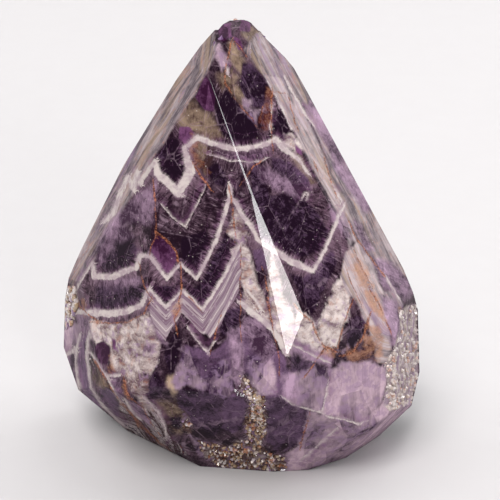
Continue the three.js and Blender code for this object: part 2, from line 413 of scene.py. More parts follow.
WHITE_LINES_AND_GLINTS = [
    (UPPER_BAND, UPPER_WIDTHS),
    (MIDDLE_BAND, MIDDLE_WIDTHS),
    (LOWER_BAND, LOWER_WIDTHS),
    ([(210, 155), (220, 157.5), (230, 161.5), (239, 161), (249, 162.5), (260, 161.5), (266, 158.5)], 0.3),
    ([(162, 206), (178.5, 223), (185.5, 227), (203, 193), (205.5, 186)], 0.3),
    ([(229.5, 186), (229.6, 200)], 2.4),
    ([(241, 303), (253, 314), (268.6, 326), (273, 329)], 2.6),
    ([(247.5, 291), (262.5, 310.5)], 0.9),
    ([(272, 328), (278.5, 339), (285, 352)], 2.4),
    ([(292, 345), (308, 353), (328, 362)], 0.8),
    ([(188, 328), (198, 342), (207, 353), (214, 343)], 0.5),
    ([(80, 334), (76, 348), (75.4, 363), (78, 384), (80, 390)], 0.9),
    ([(65, 356), (76, 349)], 1.6),
    ([(89, 333), (87, 343), (86.4, 357), (88.6, 371), (90.7, 388), (101, 404), (120, 423), (124, 427)], 1.2),
    ([(90.7, 353), (96, 361), (103, 371.5), (109, 381), (117, 397), (121, 403)], 0.7),
    ([(109, 377), (119, 375.5)], 0.9),
    ([(125, 400), (131, 411), (141, 420)], 0.9),
    ([(144, 398), (157, 411), (165.7, 428), (166, 437)], 0.6),
    ([(328, 383), (325, 398), (321.7, 413)], 0.4),
    ([(282, 397), (293, 405), (321.7, 413), (330, 418), (343, 419), (360, 425), (366, 421)], 0.4),
    ([(337, 428), (318, 445), (300, 461)], 0.4),
    ([(284, 76), (292, 92), (306, 116), (314, 126)], 0.7),
    ([(336, 192), (341, 200)], 0.9),
    ([(268, 82), (280, 104), (292, 130)], 0.6),
    ([(400, 300), (392, 286), (386, 276)], 0.7),
    # The last four are painted glints: short white marks of light on small chips and pits.
    ([(226, 68), (228, 73)], 1.4),
    ([(271, 105), (271.5, 112)], 0.8),
    ([(270.5, 125), (271, 129)], 1.2),
    ([(303, 198), (305, 193), (309, 192), (307, 198)], 0.4),
]
print(len(WHITE_LINES_AND_GLINTS), "white lines on the front")

# %% [markdown]
# Iron stained the cracks between the columns, so rust-coloured lines run along the joints.

# %% Rusty joints in front
RUSTY_LINES = [
    ([(224.5, 84), (240, 104), (256.5, 126)], 0.8),
    ([(263, 108), (258, 125)], 0.8),
    ([(272, 88), (271, 110), (271.5, 130), (273, 150)], 0.8),
    ([(232, 40), (226, 66), (224.5, 84)], 0.9),
    ([(236, 42), (247, 57)], 0.7),
    ([(153, 180), (155, 205), (156, 233)], 0.9),
    ([(157, 234), (165, 239), (176, 250), (178, 262)], 1.2),
    ([(157, 234), (151, 247), (150, 255)], 0.6),
    ([(193, 164), (202, 178), (212, 190)], 1.1),
    ([(229, 186), (233, 210), (235.5, 240)], 0.9),
    ([(241.5, 184), (254, 166), (262, 160)], 0.7),
    ([(139, 264), (144, 285), (152, 300)], 0.7),
    ([(92, 322), (110, 323.5), (128, 322), (144, 314), (152, 297)], 0.9),
    ([(180, 263.5), (181.5, 290), (178.6, 300), (180, 308), (174, 318), (178, 334)], 0.8),
    ([(189, 297), (202, 311)], 0.7),
    ([(241, 245), (240, 290), (241, 340)], 0.5),
    ([(222, 312), (210, 352)], 0.7),
    ([(348, 220), (357, 240), (370, 256), (385, 277)], 0.8),
    ([(276, 92), (288, 94), (294, 120), (298, 130)], 0.6),
    ([(314, 162), (320, 178)], 0.8),
    ([(324, 158), (330, 180), (336, 194)], 0.9),
    ([(352.5, 300), (345, 320), (340, 339), (338, 347)], 0.9),
    ([(293, 303), (303, 315), (313, 323), (315, 333), (323, 345), (337, 352)], 1.0),
    ([(325, 347), (310, 370), (305, 377)], 0.9),
    ([(370, 315), (365, 333), (353, 352), (342, 356)], 1.3),
    ([(266, 300), (271.5, 317), (273, 329), (277, 347), (280, 364), (279, 375)], 0.6),
    ([(310, 413), (303, 437), (300, 447)], 0.9),
    ([(94, 360), (103, 374), (110, 386), (121, 403), (134, 418), (139, 427)], 0.9),
    ([(122.5, 377), (128.5, 398)], 1.5),
    ([(131, 398), (143, 408), (151, 423)], 0.6),
    ([(123, 404), (137, 420), (144, 428), (160, 443), (173, 451)], 1.1),
    ([(100, 321), (92, 318), (84, 310), (76, 304)], 0.8),
    ([(262, 268), (268, 290), (271, 322)], 0.7),
    ([(370, 290), (378, 303), (385, 318), (393, 338)], 0.8),
    ([(354, 250), (362, 268), (372, 286)], 0.6),
    ([(346, 268), (352, 284), (362, 306)], 0.6),
    ([(402, 312), (408, 311), (414, 314)], 1.2),
]
print(len(RUSTY_LINES), "rusty lines on the front")

# %% [markdown]
# Between the lines lie whole crystals and stains, each a closed outline on the front chart. They
# are sorted by their colour family, and each has a tone, from 0 for the family's darkest colour
# to 1 for its palest, so that the material can colour a family in one place.

# %% Patches in front
LEFT_BEVEL_EDGE = [(214, 32), (208, 73), (157, 153), (93, 263), (76, 292)]
RIGHT_BEVEL_EDGE = [(250, 40), (268, 80), (290, 125), (310, 163), (337, 210), (356, 252), (392, 320)]
FRONT_PATCHES = {
    "honey": [
        (0.36, [(180, 104), (194, 100), (202, 116), (200, 134), (186, 130), (177, 124)]),
        (0.22, [(198, 108), (213, 114), (222, 138), (212, 143), (198, 136)]),
        (0.45, [(230, 42), (246, 58), (244, 74), (236, 70), (228, 62)]),
        (0.34, [(216, 74), (230, 70), (238, 78), (230, 92), (220, 88)]),
        (0.2, [(224, 84), (237, 84), (249, 98), (247, 112), (236, 102)]),
        (0.12, [(157, 402), (178, 400), (188, 420), (180, 434), (162, 424)]),
        (0.3, [(296, 152), (304, 160), (315, 184), (310, 186), (300, 168), (292, 158)]),
        (0.95, [(167, 376), (177, 375), (174, 382), (176, 392), (172, 395), (169, 386)]),
        (0.3, [(90, 360), (103, 376), (110, 388), (118, 402), (100, 388), (91, 380)]),
        (0.15, [(196, 140), (212, 146), (232, 154), (214, 160), (208, 178), (196, 166)]),
        (0.3, [(246, 27), (262, 30), (268, 40), (256, 44), (244, 36)]),
    ],
    "lilac": [
        (0.3, [(183, 346), (190, 351), (196, 361), (198, 374), (207, 380), (206, 390), (200, 391), (188, 386),
                (176, 390), (173, 381), (176, 367), (181, 356)]),
        (0.14, [(187, 370), (193, 363), (197, 374)]),
        (0.2, [(201, 380), (215, 361), (228, 361), (235, 376), (234, 391), (223, 400), (213, 393), (207, 384)]),
        (0.66, [(328, 383), (330, 372), (341, 360), (366, 362), (386, 368), (386, 392), (376, 410), (361, 425),
               (343, 419), (321, 413)]),
        (0.46, [(292, 374), (312, 368), (332, 370), (328, 386), (322, 413), (293, 405), (286, 396), (290, 384)]),
        (0.62, [(308, 411), (340, 418), (362, 424), (350, 444), (324, 466), (280, 474), (292, 450), (303, 436)]),
        (0.7, [(360, 424), (378, 406), (398, 390), (416, 398), (404, 432), (352, 464), (330, 464)]),
        (0.2, [(190, 438), (214, 442), (228, 462), (200, 456)]),
        (0.5, [(215, 42), (222, 44), (229, 64), (222, 70), (216, 58)]),
        (0.16, [(240, 98), (250, 100), (250, 113), (243, 111)]),
        (0.3, [(250, 108), (261, 109), (257, 127), (248, 118)]),
        (0.5, [(63, 330), (79, 322), (81, 334), (76, 347), (65, 353), (61, 344)]),
        (0.24, [(246, 357), (262, 352), (274, 362), (276, 394), (262, 396), (250, 386)]),
    ],
    "misty": [
        (0.34, [(135, 196), (154, 184), (155, 222), (146, 226), (128, 222), (120, 232), (106, 228)]),
        (0.24, [(104, 228), (126, 226), (136, 238), (118, 244), (104, 260), (94, 268), (94, 250)]),
        (0.36, [(352, 222), (362, 226), (374, 250), (364, 252)]),
        (0.2, [(214, 150), (236, 154), (262, 151), (268, 148), (262, 158), (240, 160), (222, 157)]),
        (0.16, [(256, 164), (274, 172), (292, 180), (308, 190), (300, 197), (280, 192), (262, 181)]),
        (0.2, [(98, 280), (140, 277), (144, 284), (98, 288)]),
        (0.3, [(150, 306), (163, 330), (166, 344), (158, 340), (152, 322)]),
        (0.25, [(76, 313), (88, 313), (89, 333), (80, 334)]),
        (0.2, [(66, 357), (75, 350), (75, 370), (78, 388), (70, 374)]),
        (0.12, [(109, 378), (119, 377), (120, 386), (123, 399), (120, 401), (114, 390)]),
        (0.7, [(127, 402), (140, 409), (150, 421), (151, 426), (140, 420), (130, 410)]),
        (0.5, [(380, 294), (394, 300), (402, 322), (398, 346), (392, 344), (386, 322)]),
        (0.3, [(244, 316), (258, 318), (268, 330), (276, 352), (268, 366), (254, 352), (246, 336)]),
        (0.45, [(310, 100), (330, 128), (352, 170), (376, 208), (364, 214), (340, 176), (318, 132), (304, 104)]),
        (0.5, [(330, 205), (344, 218), (352, 240), (344, 238), (334, 222)]),
        (0.85, [(292, 338), (308, 345), (333, 357), (331, 368), (308, 361), (290, 353)]),
        (0.6, [(283, 372), (296, 376), (298, 396), (290, 402), (282, 396)]),
        (0.5, [(229, 328), (243, 328), (243, 386), (236, 384), (230, 350)]),
        (0.3, [(146, 340), (156, 346), (152, 356), (142, 352)]),
        (0.4, [(372, 256), (392, 262), (412, 284), (408, 300), (392, 292), (378, 276)]),
    ],
    "purple": [
        (0.0, [(167, 138), (177.5, 138), (188, 167), (173, 182), (157, 169), (159, 153)]),
        (0.04, [(226, 88), (240, 106), (257, 127), (260, 138), (237, 143), (221, 136), (216, 115), (220, 98)]),
        (0.1, [(243, 60), (254, 66), (268, 84), (268, 92), (262, 108), (251, 106), (243, 98), (239.5, 83)]),
        (0.0, [(277, 109), (284, 115), (289.5, 133), (283, 140), (274, 129), (273, 117)]),
        (0.06, [(112, 240), (131, 236), (139, 256), (126, 268), (105, 274), (99, 262)]),
        (0.16, [(96, 286), (120, 284), (146, 286), (147, 296), (140, 303), (125, 308), (95, 309)]),
        (0.08, [(270, 194), (300, 194), (318, 212), (330, 232), (318, 252), (300, 258), (275, 245), (258, 215)]),
        (0.22, [(250, 160), (262, 176), (270, 190), (266, 222), (252, 200)]),
        (0.2, [(272, 158), (290, 162), (308, 180), (312, 192), (290, 184), (272, 172)]),
        (0.1, [(290, 274), (306, 278), (320, 262), (332, 250), (336, 262), (324, 292), (312, 316), (304, 304)]),
        (0.4, [(290, 352), (302, 360), (320, 366), (331, 370), (327, 376), (309, 374), (292, 378)]),
        (0.02, [(152, 287), (165, 284), (182, 291), (166, 305), (157, 299)]),
        (0.06, [(200, 282), (222, 240), (228, 222), (230, 250), (222, 274), (203, 306), (186, 292)]),
        (0.02, [(182, 238), (205, 230), (208, 242), (197, 272), (183, 262)]),
        (0.42, [(266, 396), (281, 397), (292, 405), (286, 440), (277, 452), (268, 440), (268, 415)]),
        (0.08, [(178.5, 328), (164, 350), (166, 366), (170, 375), (175, 368), (179, 355), (183, 344)]),
        (0.12, [(144, 374), (157, 371), (165, 382), (160, 397), (147, 399)]),
        (0.05, [(170, 418), (179, 416), (184, 423), (180, 429), (171, 426)]),
        (0.34, [(180, 388), (200, 391), (206, 390), (222, 400), (222, 430), (210, 436), (187, 420), (176, 404)]),
        (0.5, [(223, 400), (234, 393), (246, 402), (244, 424), (232, 434), (222, 430)]),
        (0.54, [(185, 344), (214, 352), (232, 332), (234, 380), (224, 400), (206, 391), (198, 374)]),
        (0.56, [(243, 330), (262, 340), (282, 352), (292, 378), (290, 402), (268, 396), (246, 386)]),
        (0.2, [(350, 320), (358, 315), (367, 320), (363, 333), (354, 347), (346.7, 343), (348, 328)]),
        (0.7, [(80, 335), (88, 334), (86, 345), (85, 358), (88, 372), (90, 389), (101, 405), (98, 410), (79, 388),
               (77, 364), (77, 348)]),
        (0.55, [(100, 388), (108, 388), (118, 402), (128, 418), (125, 424), (112, 412), (101, 399)]),
        (0.2, [(217, 314), (240, 308), (241, 326), (230, 332), (222, 336)]),
        (0.42, [(253, 250), (262, 247), (267, 266), (257, 273)]),
        (0.42, [(292, 406), (310, 412), (306, 426), (301, 440), (286, 452), (288, 430)]),
        (0.1, [(205, 168), (216, 163), (226, 173), (227, 187), (214, 184)]),
    ],
    "violet": [
        (0.3, [(157, 234), (166, 238), (175, 251), (177, 261), (167, 276), (152, 254), (152, 242)]),
        (0.12, [(207, 76), (217, 96), (214, 112), (203, 110), (196, 96), (202, 83)]),
        (0.3, [(179, 128), (189, 127.5), (195, 133), (184.5, 145), (177.5, 138)]),
        (0.2, [(217, 24), (230, 22), (233, 38), (222, 42)]),
        (0.15, [(233, 38), (240, 40), (243, 50), (237, 50)]),
        (0.3, [(240, 20), (250, 22), (250, 32), (240, 32)]),
        (0.4, [(110, 338), (115, 340), (116, 350), (112, 350)]),
        (0.0, [(94, 352), (97, 343), (104, 341), (110, 348), (110, 358), (106.5, 365), (99, 361)]),
        (0.5, [(295, 144), (301, 150), (302, 156), (296, 152)]),
    ],
    "milky": [
        (0.5, [(92, 322), (114, 323), (137, 318), (150, 312), (158, 340), (160, 362), (150, 374), (134, 380),
               (122, 376), (110, 366), (108, 346), (98, 336)]),
        (0.75, [(322, 345), (320, 322), (334, 288), (340, 276), (352, 290), (346, 320), (336, 346)]),
        (0.55, [(231, 250), (240, 244), (250, 250), (262, 290), (270, 322), (258, 318), (244, 300), (240, 270)]),
        (0.8, [(297, 310), (310, 316), (324, 340), (330, 356), (298, 350), (294, 330)]),
        (0.35, [(226, 232), (236, 210), (250, 234), (240, 248)]),
        (0.7, [(284, 134), (294, 134), (302, 146), (296, 152), (284, 146)]),
        (0.6, [(270, 245), (275, 258), (284, 300), (296, 322), (300, 336), (289, 356), (274, 330), (268, 290)]),
        (0.25, [(126, 376), (150, 374), (146, 398), (166, 426), (166, 436), (140, 404)]),
        (0.85, [(88, 320), (104, 322), (106, 342), (98, 345), (91, 336)]),
    ],
    # The side bevels: real streaks along their length, with their pale grey sheen of reflected light painted in.
    "streaked_sheen": [
        (0.32, [(214, 30), (217, 44), (208, 73), (157, 153), (138, 186), (112, 230), (93, 263), (70, 296),
                (60, 296), (60, 230), (150, 104), (206, 26)]),
        (0.3, [(244, 50), (262, 74), (284, 78), (302, 104), (310, 100), (276, 24), (262, 26), (252, 40)]),
        (0.62, [(262, 74), (284, 78), (302, 106), (338, 190), (352, 240), (349, 246), (337, 210), (310, 163),
                (290, 125), (268, 80)]),
        (0.3, [(302, 96), (310, 100), (400, 214), (410, 280), (372, 258), (352, 240), (338, 190)]),
        (0.35, [(382, 292), (400, 290), (404, 306), (386, 322), (380, 310)]),
        (0.7, [(340, 276), (346, 252), (358, 240), (372, 262), (384, 292), (390, 330), (392, 364), (378, 362),
               (368, 326), (356, 300), (348, 296)]),
    ],
    "rust": [
        (0.35, [(347, 346), (358, 350), (368, 338), (378, 323), (384, 338), (378, 356), (360, 362), (350, 360)]),
        (0.0, [(268, 88), (273, 92), (271, 129), (262, 131), (258, 124), (265, 106)]),
        (0.1, [(190, 148), (200, 158), (210, 172), (204, 180), (194, 168)]),
        (0.5, [(400, 308), (414, 310), (414, 316), (402, 316)]),
        (0.3, [(322, 344), (336, 350), (332, 358), (320, 354)]),
        (0.6, [(350, 254), (362, 260), (376, 290), (386, 322), (374, 314), (360, 286)]),
        (0.5, [(172, 308), (182, 298), (181, 312), (174, 318)]),
        (0.4, [(120, 376), (124, 375), (130, 398), (126, 399)]),
        (0.35, [(108, 360), (110, 357), (115, 374), (107, 375)]),
        (0.3, [(74, 300), (84, 300), (88, 318), (78, 312)]),
        (0.55, [(364, 324), (376, 326), (384, 340), (380, 360), (366, 358), (362, 342)]),
        (0.2, [(191, 132), (200, 138), (198, 152), (190, 146)]),
    ],
    "striped": [
        (0.5, [(148, 289), (166, 308), (182, 290), (203, 310), (224, 277), (234, 252), (241, 245), (242, 266),
               (238, 292), (222, 322), (210, 340), (198, 330), (182, 312), (172, 326), (165, 342), (156, 330),
               (150, 312)]),
    ],
    "layered": [
        (0.5, [(120, 402), (130, 410), (151, 426), (148, 406), (168, 430), (186, 454), (150, 450), (118, 428)]),
    ],
    "jet": [
        (0.5, [(200, 337), (207, 334), (213, 344), (209, 351)]),
    ],
    "rough": [
        (0.1, [(240, 374), (247, 376), (252, 388), (266, 396), (268, 430), (262, 445), (276, 466), (240, 466),
               (224, 450), (236, 442), (246, 440), (243, 424), (249, 402), (240, 392)]),
        (0.1, [(196, 440), (226, 448), (262, 452), (290, 458), (284, 480), (236, 474), (206, 462)]),
        (0.5, [(66, 286), (72, 284), (76, 304), (70, 327), (63, 326), (62, 300)]),
        (0.7, [(400, 310), (414, 304), (424, 312), (424, 366), (418, 396), (413, 403), (393, 411), (383, 406),
               (387, 390), (386, 362), (393, 352), (401, 332)]),
        (0.1, [(182, 410), (192, 424), (190, 440), (180, 428)]),
    ],
}
print({family: len(outlines) for family, outlines in FRONT_PATCHES.items()})

# %% [markdown]
# No photograph shows the back, so its bands are made up in the same manner: zigzags that join
# the ends of the front bands at the two sides, with dark crystals above each and pale ones below
# the last. A loop with a fixed seed draws them.

# %% The back's own bands
BACK_RIGHT, BACK_LEFT = -205, 200
BACK_ENDS = [(103, 197), (217, 293), (276, 325)]
CHEVRON_STEP = (16, 34)
CHEVRON_HEIGHT = (14, 30)


def zigzag(right_end, left_end):
    """A chevron line across the back from the right side's height to the left side's."""
    line = [(BACK_RIGHT, right_end)]
    across = BACK_RIGHT
    turn = 1
    while across < BACK_LEFT:
        across += random.uniform(*CHEVRON_STEP)
        share = (across - BACK_RIGHT) / (BACK_LEFT - BACK_RIGHT)
        level = right_end + share * (left_end - right_end)
        line.append((across, level + turn * random.uniform(*CHEVRON_HEIGHT) / 2))
        turn = -turn
    return line


back_bands = [zigzag(*ends) for ends in BACK_ENDS]
BACK_WHITE = [(line, [random.uniform(1, 3.4) for _ in line]) for line in back_bands]
BACK_WHITE.append(([(x, y + 24) for x, y in back_bands[0][3:12]], 0.3))
BACK_RUSTY = []
for line in back_bands:
    for x, y in line[2:-2:3]:
        BACK_RUSTY.append(([(x, y), (x + random.uniform(-5, 5), y + 30), (x + random.uniform(-9, 9), y + 62)], 0.8))
print("bands behind:", [len(line) for line in back_bands], "corners;", len(BACK_RUSTY), "rusty joints")


def above(line, far, near):
    """A strip above a zigzag line, between two distances from it."""
    return [(x, y - near) for x, y in line] + [(x, y - far) for x, y in reversed(line)]


BACK_PATCHES = {
    "honey": [
        (0.3, [(-110, 46), (-70, 38), (-24, 54), (-30, 78), (-70, 88), (-116, 72)]),
        (0.15, [(30, 90), (70, 80), (110, 98), (100, 120), (64, 126), (38, 114)]),
    ],
    "lilac": [
        (0.35, above(back_bands[2], -100, -40)),
        (0.25, [(-60, 36), (0, 24), (60, 34), (80, 60), (30, 78), (-50, 66)]),
        (0.3, [(120, 176), (160, 168), (200, 192), (194, 220), (150, 226), (126, 208)]),
    ],
    "purple": [
        (0.1, above(back_bands[0], 36, 2)),
        (0.08, above(back_bands[1], 52, 2)),
        (0.2, above(back_bands[2], 30, 3)),
        (0.6, [(60, 330), (84, 338), (96, 352), (90, 388), (66, 392), (52, 368)]),
    ],
    "misty": [
        (0.4, [(-170, 250), (-150, 246), (-140, 300), (-166, 306)]),
        (0.2, [(120, 340), (160, 350), (150, 386), (112, 380)]),
        (0.34, above(back_bands[0], -52, -20)),
        (0.4, [(-214, 60), (-180, 60), (-166, 140), (-176, 200), (-214, 210)]),
        (0.4, [(166, 60), (210, 60), (210, 210), (180, 196), (160, 130)]),
    ],
    "violet": [(0.3, [(-150, 196), (-136, 184), (-118, 190), (-112, 210), (-126, 230), (-144, 222)])],
    "milky": [
        (0.5, above(back_bands[2], -34, -4)),
        (0.4, [(-210, 244), (-190, 226), (-164, 230), (-150, 262), (-160, 296), (-206, 300)]),
        (0.5, [(20, 250), (44, 240), (66, 250), (62, 276), (40, 288), (24, 276)]),
    ],
    "streaked_sheen": [],
    "rust": [
        (0.4, [(-44, 262), (-38, 260), (-34, 300), (-37, 330), (-42, 328)]),
        (0.3, [(84, 226), (90, 224), (95, 250), (91, 262), (87, 250)]),
    ],
    "striped": [(0.5, above(back_bands[2], -26, 0))],
    "layered": [
        (0.5, [(-210, 402), (-150, 392), (-96, 412), (-40, 400), (20, 418), (84, 398), (140, 414), (210, 398),
               (210, 460), (-210, 460)]),
    ],
    "jet": [],
    "rough": [
        (0.3, [(-84, 262), (-66, 248), (-50, 262), (-42, 300), (-54, 334), (-72, 352), (-90, 338), (-98, 298)]),
        (0.5, [(-300, -20), (300, -20), (300, 22), (-300, 22)]),
    ],
}

# %% [markdown]
# All of it goes into the mesh as named numbers on its points: distances for the lines, soft
# masks for the patches, and for the fibres how far along a band and how far from it a point lies.

# %% Write the pattern on the stone
LINE_REACH = 14
PATCH_WANDER = 2.4
PATCH_WANDER_SCALE = 0.22
LINE_WANDER = {"white": 1.0, "rusty": 1.2}
LINE_WANDER_SCALE = 0.5
RIM_LAYER_SCALE = 0.7
SOFTNESS = {
    "honey": 14, "lilac": 8, "purple": 9, "violet": 6, "milky": 12, "streaked_sheen": 7, "misty": 13,
    "rust": 8, "striped": 4, "layered": 8, "jet": 6, "rough": 8,
}
TONED = ("honey", "lilac", "purple", "violet", "milky", "streaked_sheen", "misty", "rust", "rough")


def nearest(points, lines):
    """For the nearest line: distance with its side, positive below, plain distance and half-width."""
    side = np.full(len(points), float(LINE_REACH))
    width = np.ones(len(points))
    for line, widths in lines:
        widths = widths if isinstance(widths, list) else [widths] * len(line)
        distance, _, wide = measure(points, line, widths)
        closer = np.abs(distance) - wide < np.abs(side) - width
        side = np.where(closer, distance, side)
        width = np.where(closer, wide, width)
    side = np.clip(side, -LINE_REACH, LINE_REACH)
    return side, np.abs(side), width


def drop(points, line):
    """How far straight below a zigzag a point lies: each growth layer repeats the one above."""
    corners = sorted(line)
    level = np.interp(points[:, 0], [x for x, _ in corners], [y for _, y in corners])
    return points[:, 1] - level


def growth(points, bands):
    """How far along the nearest band, and how far below it."""
    best = np.full(len(points), 1e9)
    along = np.zeros(len(points))
    for offset, line in enumerate(bands):
        distance, place, _ = measure(points, line, [1] * len(line))
        closer = np.abs(distance) < np.abs(best)
        best = np.where(closer, distance, best)
        along = np.where(closer, place + offset * 1000, along)
    return along, best


def wandered(points, places, amount, scale):
    """Chart places shifted by a smooth noise of their place in space, for natural outlines."""
    shifts = [noise.noise_vector(Vector(place) * scale) for place in places]
    return points + amount * np.array([(shift.x, shift.y) for shift in shifts])


def family_mask(points, outlines, softness):
    """The mask of a family's patches, and the tone of the patch that a point belongs to most."""
    if not outlines:
        return np.zeros(len(points)), np.zeros(len(points))
    masks = np.array([patch(points, outline, softness) for _, outline in outlines])
    tones = np.array([tone for tone, _ in outlines])
    return masks.max(axis=0), tones[masks.argmax(axis=0)]


def on_both(front_value, back_value):
    return np.where(in_view, front_value, back_value)


def store(name, values):
    layer = stone.data.attributes.new(name, "FLOAT", "POINT")
    layer.data.foreach_set("value", values.astype(np.float32))


patch_places = wandered(charted, coordinates, PATCH_WANDER, PATCH_WANDER_SCALE)
pattern = {}
for name, front_lines, back_lines in (("white", WHITE_LINES_AND_GLINTS, BACK_WHITE), ("rusty", RUSTY_LINES, BACK_RUSTY)):
    line_places = wandered(charted, coordinates, LINE_WANDER[name], LINE_WANDER_SCALE)
    both = zip(("side", "reach", "width"), nearest(line_places, front_lines), nearest(line_places, back_lines))
    for quantity, front_value, back_value in both:
        pattern[name + "_" + quantity] = on_both(front_value, back_value)
for family, softness in SOFTNESS.items():
    front_mask, front_tone = family_mask(patch_places, FRONT_PATCHES[family], softness)
    back_mask, back_tone = family_mask(patch_places, BACK_PATCHES[family], softness)
    pattern[family] = on_both(front_mask, back_mask)
    if family in TONED:
        pattern[family + "_tone"] = on_both(front_tone, back_tone)
front_growth = growth(charted, [UPPER_BAND, MIDDLE_BAND, LOWER_BAND])
back_growth = growth(charted, back_bands)
pattern["along"] = on_both(front_growth[0], back_growth[0])
pattern["below"] = on_both(front_growth[1], back_growth[1])
pattern["stripe"] = on_both(drop(charted, LOWER_BAND), drop(charted, back_bands[2]))
contour = [(85, 352), (108, 376), (127, 399), (150, 406), (166, 428), (176, 452)]
rim_layers = drop(charted, back_bands[2]) * RIM_LAYER_SCALE
pattern["layer"] = on_both(measure(charted, contour, [1] * len(contour))[0], rim_layers)
left_edge = measure(charted, LEFT_BEVEL_EDGE, [1] * len(LEFT_BEVEL_EDGE))
right_edge = measure(charted, RIGHT_BEVEL_EDGE, [1] * len(RIGHT_BEVEL_EDGE))
on_left = charted[:, 0] < PICTURE / 2
pattern["across"] = on_both(np.where(on_left, left_edge[0], right_edge[0]), charted[:, 0])
pattern["down"] = on_both(np.where(on_left, left_edge[1], right_edge[1]), charted[:, 1])
for name, values in pattern.items():
    store(name, values)
print("named numbers on the mesh:", ", ".join(pattern))

# %% [markdown]
# The wheel never reached a few hollows, and there the stone keeps its natural skin. The points
# of those patches are pushed in along their normals, unevenly, which turns the fine triangles
# into small breaks that catch the light. A bump map would leave the outline flat.

# %% Rough places
ROUGH_PLACES = {
    # The tint ranges reach into white, which is partly milky quartz and partly painted glints.
    "seam": {"depth": 1.5, "crystals": 620, "radius": (0.25, 0.6), "tint": (0.14, 0.84)},
    "pocket": {"depth": 2.4, "crystals": 70, "radius": (0.6, 1.3), "tint": (0.5, 0.86)},
    "shoulder": {"depth": 1.3, "crystals": 240, "radius": (0.25, 0.7), "tint": (0.62, 0.80)},
    "hollow": {"depth": 2.4, "crystals": 130, "radius": (0.6, 1.3), "tint": (0.1, 0.9)},
    "tip": {"depth": 0.3, "crystals": 6, "radius": (0.5, 0.9), "tint": (0.76, 1)},
}


def place_of(x, y, z):
    """Which rough place a point of the skin belongs to."""
    if z > TIP_FOOT:
        return "tip"
    if y > 20:
        return "hollow"
    if x < -44:
        return "pocket"
    return "shoulder" if x > 34 else "seam"


def unevenness(point, place):
    """0 to 1: how deep the natural surface lies at a point, before its place's depth."""
    lumps = 0.5 + 0.5 * noise.noise(point * 0.9)
    grains = 0.5 + 0.5 * noise.noise(point * 2.3)
    if place == "shoulder":
        swells = 0.5 + 0.5 * noise.noise(point * 0.3)
        return 0.1 + 0.6 * swells + 0.3 * lumps
    return 0.2 + 0.5 * lumps + 0.3 * grains


roughness = pattern["rough"]
sunk = np.zeros(len(coordinates))
for index in np.flatnonzero(roughness > 0.05):
    point = Vector(coordinates[index])
    place = place_of(*point)
    sunk[index] = roughness[index] * ROUGH_PLACES[place]["depth"] * unevenness(point, place)
moved = (coordinates - normals * sunk[:, None]) * MM
stone.data.vertices.foreach_set("co", moved.astype(np.float32).ravel())
stone.data.update()
print((sunk > 0).sum(), "points pushed in, by", round(sunk.max(), 2), "mm at the most")

# %% [markdown]
# Quartz crystals are six-sided prisms that end in a point. One is made from a cylinder whose top
# face is extruded and merged, then copied with its own mesh for each crystal, with a tint number
# of its own, so that neighbours differ in colour.

# %% One crystal
bpy.ops.object.select_all(action="DESELECT")
bpy.ops.mesh.primitive_cylinder_add(vertices=6, radius=1, depth=1.12, location=(0, 0, 0.06))
pattern_crystal = bpy.context.object
bpy.ops.object.transform_apply(location=True, rotation=True, scale=True)
edit(pattern_crystal)
bpy.ops.mesh.select_mode(type="FACE")
grown = bmesh.from_edit_mesh(pattern_crystal.data)
for face in grown.faces:
    face.select_set(face.normal.z > 0.9)
bmesh.update_edit_mesh(pattern_crystal.data)
bpy.ops.mesh.extrude_region_move(TRANSFORM_OT_translate={"value": (0, 0, 0.38)})
bpy.ops.mesh.merge(type="CENTER")
done()
print("a crystal has", len(pattern_crystal.data.polygons), "faces")

crystals = []


def within_facets(point, overhang):
    """A point brought back to where a facet would have ground it, plus an overhang."""
    for normal, origin in planes[:-2]:
        beyond = (point - origin).dot(normal) - overhang
        if beyond > 0:
            point = point - normal * beyond
    point.z = max(point.z, 0)
    return point


def grow_crystal(foot, direction, radius, length, overhang, tint):
    """Copies the crystal to a foot, in millimetres, and keeps it under the polished faces."""
    crystal = pattern_crystal.copy()
    crystal.data = pattern_crystal.data.copy()
    bpy.context.collection.objects.link(crystal)
    turn = direction.to_track_quat("Z", "Y")
    spin = random.uniform(0, math.pi)
    lean = Vector((random.uniform(-0.4, 0.4), random.uniform(-0.4, 0.4), 0))
    for vertex in crystal.data.vertices:
        corner = vertex.co.copy()
        if corner.z > 0.9:
            corner += lean
        around = Vector((
            corner.x * math.cos(spin) - corner.y * math.sin(spin),
            corner.x * math.sin(spin) + corner.y * math.cos(spin),
            0,
        ))
        grown_to = foot + turn @ (around * radius + Vector((0, 0, corner.z * length)))
        vertex.co = within_facets(grown_to, overhang) * MM
    tints = crystal.data.attributes.new("tint", "FLOAT", "POINT")
    tints.data.foreach_set("value", [random.uniform(*tint)] * len(crystal.data.vertices))
    crystals.append(crystal)


# %% [markdown]
# The crystals that line the rough places stand on points picked by lot from each place's skin,
# leaning at random about the skin's normal, and end near the polished face.

# %% Crystals in the rough places
CRYSTAL_LEAN = 0.5
CRYSTAL_OVERHANG = 0
rough_points = {name: [] for name in ROUGH_PLACES}
for index in np.flatnonzero(roughness > 0.6):
    rough_points[place_of(*coordinates[index])].append(index)
for name, place in ROUGH_PLACES.items():
    found = rough_points[name]
    for index in random.sample(found, min(place["crystals"], len(found))):
        radius = random.uniform(*place["radius"])
        lean = Vector([random.uniform(-CRYSTAL_LEAN, CRYSTAL_LEAN) for _ in range(3)])
        direction = (Vector(normals[index]) + lean).normalized()
        foot = Vector(coordinates[index]) - Vector(normals[index]) * (sunk[index] + 0.2)
        length = sunk[index] + radius * random.uniform(0.3, 1.1)
        grow_crystal(foot, direction, radius, length, CRYSTAL_OVERHANG, place["tint"])
print({name: len(found) for name, found in rough_points.items()}, "points to grow on;", len(crystals), "crystals")

# %% [markdown]
# A few larger crystals stand out of the natural tip on its left, in front of the rest.

